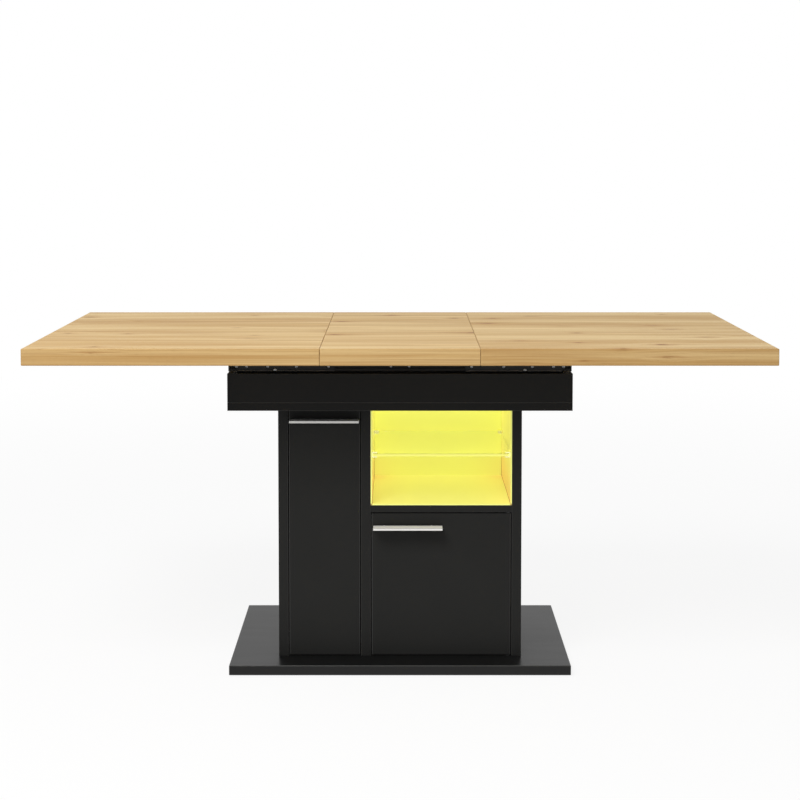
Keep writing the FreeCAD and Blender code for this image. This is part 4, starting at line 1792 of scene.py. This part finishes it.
@dataclass
class Apron:
    """The box between the cabinet and the top, with its bearers and tracks."""

    nodes: tuple[str, ...] = (
        "apron_back", "apron_end_left", "apron_end_right", "apron_floor", "apron_front", "bearer_back",
        "bearer_front", "track_back", "track_end_caps", "track_front",
    )
    wall_screw_xs: tuple[float, ...] = (100 * MM, 300 * MM)
    end_screw_y: float = 130 * MM
    board_screw_y: float = 120 * MM
    bearer_screw_xs: tuple[float, ...] = (60 * MM, 180 * MM, 300 * MM)
    bearer_screw_drop: float = 60 * MM
    track_screw_xs: tuple[float, ...] = (20 * MM, 175 * MM)
    track_screw_z: float = 688.5 * MM
    track_sheet: float = 2 * MM
    # Painted shade: a darker copy of the board's lacquer for the apron, which lies in the top's shade
    lacquer: Lacquer = Lacquer(paint(29, 29, 29), paint(34, 34, 33), paint(60, 60, 59))

    def build(self, shop: Workshop) -> None:
        """Dresses the box and sets its screws.

        Args:
            shop: The workshop.
        """
        for node in self.nodes:
            if node.startswith("apron"):
                # The apron's boards take the darker, painted-shade copy of the lacquer
                shop.dress(node, "apron_shaded_lacquer", self.lacquer)
            else:
                shop.dress(node)
        self._board_screws(shop)
        bearer = shop.box("bearer_front")
        level = bearer.high.z - self.bearer_screw_drop
        xs = both(*self.bearer_screw_xs)
        places = head_places(xs, [bearer.high.y], [level], Way.BACK)
        places += head_places(xs, [-bearer.high.y], [level], Way.FRONT)
        shop.screws("bearer_screws", Body.CARCASS, places)
        web = shop.box("track_front").high.y - self.track_sheet
        xs = both(*self.track_screw_xs)
        places = head_places(xs, [web], [self.track_screw_z], Way.FRONT)
        places += head_places(xs, [-web], [self.track_screw_z], Way.BACK)
        shop.screws("track_screws", Body.CARCASS, places)

    def _board_screws(self, shop: Workshop) -> None:
        """Sets the screws that hold the walls and the cabinet's boards to the apron's floor.

        Args:
            shop: The workshop.
        """
        floor, front = shop.box("apron_floor"), shop.box("apron_front")
        ends = both(shop.box("apron_end_right").middle.x)
        walls = both(*self.wall_screw_xs)
        places = head_places(walls, both(front.middle.y), [floor.low.z], Way.DOWN)
        places += head_places(ends, both(self.end_screw_y), [floor.low.z], Way.DOWN)
        uprights = shop.middles(UPRIGHTS)
        places += head_places(uprights, both(self.board_screw_y), [floor.high.z], Way.UP)
        shop.screws("apron_screws", Body.CARCASS, places, FLUSH)


@dataclass
class TopHalf:
    """One half of the top with its runners, sliders and lock screws. Places along X are for the right."""

    body: Body
    side: str
    sign: float
    cut: Triple
    web_screw_xs: tuple[float, ...] = (361 * MM, 339 * MM, 292 * MM, 229 * MM, 158 * MM)
    web_screw_z: float = 690.5 * MM
    flange_screw_xs: tuple[float, ...] = (335 * MM, 255 * MM, 172 * MM)
    flange_inset: float = 9 * MM
    flange_sheet: float = 2 * MM
    lock_x: float = 276 * MM
    lock_z: float = 683 * MM
    lock_head_height: float = 3 * MM
    hem_radius: float = 1.1 * MM
    hem_ends: tuple[float, float] = (145 * MM, 357 * MM)
    hem_corners: int = 10

    def build(self, shop: Workshop) -> None:
        """Dresses the half and sets the screws of its runners.

        Args:
            shop: The workshop.
        """
        board = f"top_{self.side}"
        shop.dress(board, f"oak_{self.side}", Oak(cut=self.cut))
        for node in ("runner_{}_front", "runner_{}_back", "sliders_{}", "rub_pads_{}", "lock_screws_{}"):
            shop.dress(node.format(self.side))
        web = self._web_face(shop)
        self._lock_screws(shop, web)
        self._hems(shop, web)
        xs = [self.sign * x for x in self.web_screw_xs]
        places = head_places(xs, [web], [self.web_screw_z], Way.FRONT)
        places += head_places(xs, [-web], [self.web_screw_z], Way.BACK)
        flange_xs = [self.sign * x for x in self.flange_screw_xs]
        flange_y = shop.box(f"runner_{self.side}_front").low.y + self.flange_inset
        under = shop.box(board).low.z - self.flange_sheet
        places += head_places(flange_xs, both(flange_y), [under], Way.DOWN)
        shop.screws(f"runner_screws_{self.side}", self.body, places)

    def _lock_screws(self, shop: Workshop, web: float) -> None:
        """Sets the detailed lock screws in place of the plain ones.

        Args:
            shop: The workshop.
            web: The front face of the front runner's web.
        """
        place = self.sign * self.lock_x
        places = [
            Place(Vector((place, web, self.lock_z)), Way.FRONT),
            Place(Vector((place, -web, self.lock_z)), Way.BACK),
        ]
        piece = shop.screws(f"lock_heads_{self.side}", self.body, places, LOCK)
        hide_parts(f"lock_screws_{self.side}")

    def _hems(self, shop: Workshop, web: float) -> None:
        """Rolls a fine hem along the lower edges of both runners.

        Args:
            shop: The workshop.
            web: The front face of the front runner's web.
        """
        radius = self.hem_radius
        middle_y = web + radius / 2
        middle_z = shop.box(f"runner_{self.side}_front").low.z + radius
        turns = [math.tau * corner / self.hem_corners for corner in range(self.hem_corners)]
        circle = [(math.cos(turn) * radius, middle_z + math.sin(turn) * radius) for turn in turns]
        ends = [self.sign * end for end in self.hem_ends]
        for name, y in (("front", middle_y), ("back", -middle_y)):
            rings = [[Vector((x, y + out, z)) for out, z in circle] for x in ends]
            piece = lathe(f"runner_hem_{self.side}_{name}", rings)
            piece.data.materials.append(shop.material(Slot.BLACK_STEEL, "hem_steel", HEM))
            shop.keep(piece, self.body)

    def _web_face(self, shop: Workshop) -> float:
        """Returns the front face of the front runner's web, just behind the lock screw's head."""
        return shop.box(f"lock_screws_{self.side}").low.y + self.lock_head_height


@dataclass
class Leaf:
    """The loose leaf and the locators that seat it."""

    cut: Triple = (2.37, 1.13, 0.0)

    def build(self, shop: Workshop) -> None:
        """Dresses the leaf."""
        shop.dress("leaf", "oak_leaf", Oak(cut=self.cut))
        shop.dress("leaf_locators")


@dataclass
class Pullout:
    """The narrow pull-out behind its tall front."""

    nodes: tuple[str, ...] = (
        "pullout_front", "handle_left", "pullout_sides", "pullout_shelves", "pullout_back", "pullout_rods",
        "pullout_sliders",
    )

    def build(self, shop: Workshop) -> None:
        """Dresses the pull-out and sets the screws of its handle.

        Args:
            shop: The workshop.
        """
        for node in self.nodes:
            shop.dress(node)
        places = behind_handle(shop.box("pullout_front"), shop.box("handle_left"))
        shop.screws("pullout_handle_screws", Body.PULLOUT, places)


@dataclass
class CupboardDoor:
    """The low hinged door."""

    nodes: tuple[str, ...] = ("door_right", "door_pivots", "handle_right", "strike_plate")
    strike_inset: float = 6 * MM

    def build(self, shop: Workshop) -> None:
        """Dresses the door and sets the screws of its handle and strike plate.

        Args:
            shop: The workshop.
        """
        for node in self.nodes:
            shop.dress(node)
        places = behind_handle(shop.box("door_right"), shop.box("handle_right"))
        shop.screws("door_handle_screws", Body.DOOR, places)
        strike = shop.box("strike_plate")
        levels = [strike.low.z + self.strike_inset, strike.high.z - self.strike_inset]
        places = head_places([strike.middle.x], [strike.high.y], levels, Way.BACK)
        shop.screws("strike_screws", Body.DOOR, places, STRIKE_FLUSH)


# The studio


@dataclass(frozen=True)
class Lamp:
    """One soft studio lamp."""

    name: str = "key"
    spot: Triple = (-1.3, -2.6, 3.6)
    target: Triple = (0.0, 0.0, 0.5)
    size: tuple[float, float] = (1.8, 1.8)
    watts: float = 134.0

    def hang(self) -> None:
        """Puts the lamp in the scene, turned to its target."""
        light = bpy.data.lights.new(self.name, "AREA")
        light.shape = "RECTANGLE"
        light.size, light.size_y = self.size
        light.energy = self.watts
        lamp = bpy.data.objects.new(self.name, light)
        lamp.location = self.spot
        line = Vector(self.target) - Vector(self.spot)
        lamp.rotation_euler = line.to_track_quat("-Z", "Y").to_euler()
        bpy.context.scene.collection.objects.link(lamp)


def shows_background(graph: Graph) -> Value:
    """Finds the rays that see the plain background.

    Args:
        graph: The tree that asks.

    Returns:
        1 for a ray from the camera, from a mirror or through glass, and 0 for one that only lights.
    """
    path = graph.add("ShaderNodeLightPath").outputs
    return graph.greatest(
        *(Value(graph, path[f"Is {kind} Ray"]) for kind in ("Camera", "Glossy", "Transmission"))
    )


@dataclass
class Studio:
    """The pale floor, the soft light and the camera, in metres, degrees and millimetres of lens."""

    floor_half: float = 60.0
    floor_colour: Colour = (0.88, 0.88, 0.88, 1.0)
    floor_white: float = 0.88
    floor_fade: tuple[float, float] = (1.0, 5.0)
    sky: float = 0.47
    camera_back: float = 3.953
    camera_height: float = 1.173
    camera_tilt: float = 3.382
    lens: float = 76.27
    shift: float = -0.19
    lamp: Lamp = Lamp()

    def build(self) -> None:
        """Sets up the floor, the light and the camera."""
        bpy.context.scene.view_settings.view_transform = "Standard"
        self._floor()
        self._world()
        self.lamp.hang()
        self._camera()

    def _floor(self) -> None:
        """Lays the floor, which shows white to the camera and keeps the shadow."""
        half = self.floor_half
        outline = [(-half, -half, 0.0), (half, -half, 0.0), (half, half, 0.0), (-half, half, 0.0)]
        mesh = bpy.data.meshes.new("floor")
        mesh.from_pydata(outline, [], [tuple(range(len(outline)))])
        floor = mesh_object("floor", mesh)
        made = bpy.data.materials.new("floor")
        made.use_nodes = True
        shader = Shader(made.node_tree)
        plain = shader.add("ShaderNodeBsdfDiffuse", None, {"Color": self.floor_colour})
        white = shader.add("ShaderNodeEmission", None, {"Color": WHITE, "Strength": 1.0})
        near, far = self.floor_fade
        x, y, _ = shader.split(shader.spot())
        away = shader.step(shader.math("SQRT", x * x + y * y), near, far, self.floor_white, 1.0)
        shader.show(shader.either(shows_background(shader) * away, plain, white))
        mesh.materials.append(made)

    def _world(self) -> None:
        """Lights the studio evenly, and shows the camera plain white."""
        world = bpy.data.worlds.new("studio")
        world.use_nodes = True
        bpy.context.scene.world = world
        graph = Graph(world.node_tree)
        strength = self.sky + shows_background(graph) * (1 - self.sky)
        sky = graph.add("ShaderNodeBackground", None, {"Color": WHITE, "Strength": strength})
        graph.add("ShaderNodeOutputWorld", None, {"Surface": sky.outputs[0]})

    def _camera(self) -> None:
        """Stands the camera in front of the table, above its top."""
        data = bpy.data.cameras.new("camera")
        data.lens = self.lens
        data.shift_y = self.shift
        camera = bpy.data.objects.new("camera", data)
        camera.location = (0.0, -self.camera_back, self.camera_height)
        camera.rotation_euler = (math.radians(90 - self.camera_tilt), 0.0, 0.0)
        bpy.context.scene.collection.objects.link(camera)
        bpy.context.scene.camera = camera


def main() -> None:
    """Builds and dresses the table and sets up the studio; stops if a node has no finish."""
    logging.basicConfig(level=logging.INFO, format="%(name)s: %(message)s")
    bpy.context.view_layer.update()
    shop = Workshop(frame)
    assemblies = (
        Base(),
        Cabinet(),
        Niche(),
        Apron(),
        TopHalf(Body.TOP_LEFT, "left", sign=-1.0, cut=(0.0, 0.0, 0.0)),
        TopHalf(Body.TOP_RIGHT, "right", sign=1.0, cut=(5.21, 2.61, 0.0)),
        Leaf(),
        Pullout(),
        CupboardDoor(),
    )
    for assembly in assemblies:
        assembly.build(shop)
    bare = sorted(set(shop.nodes) - shop.dressed)
    if bare:
        raise ValueError(f"nodes without a finish: {bare}")
    Studio().build()


if __name__ == "__main__":
    main()
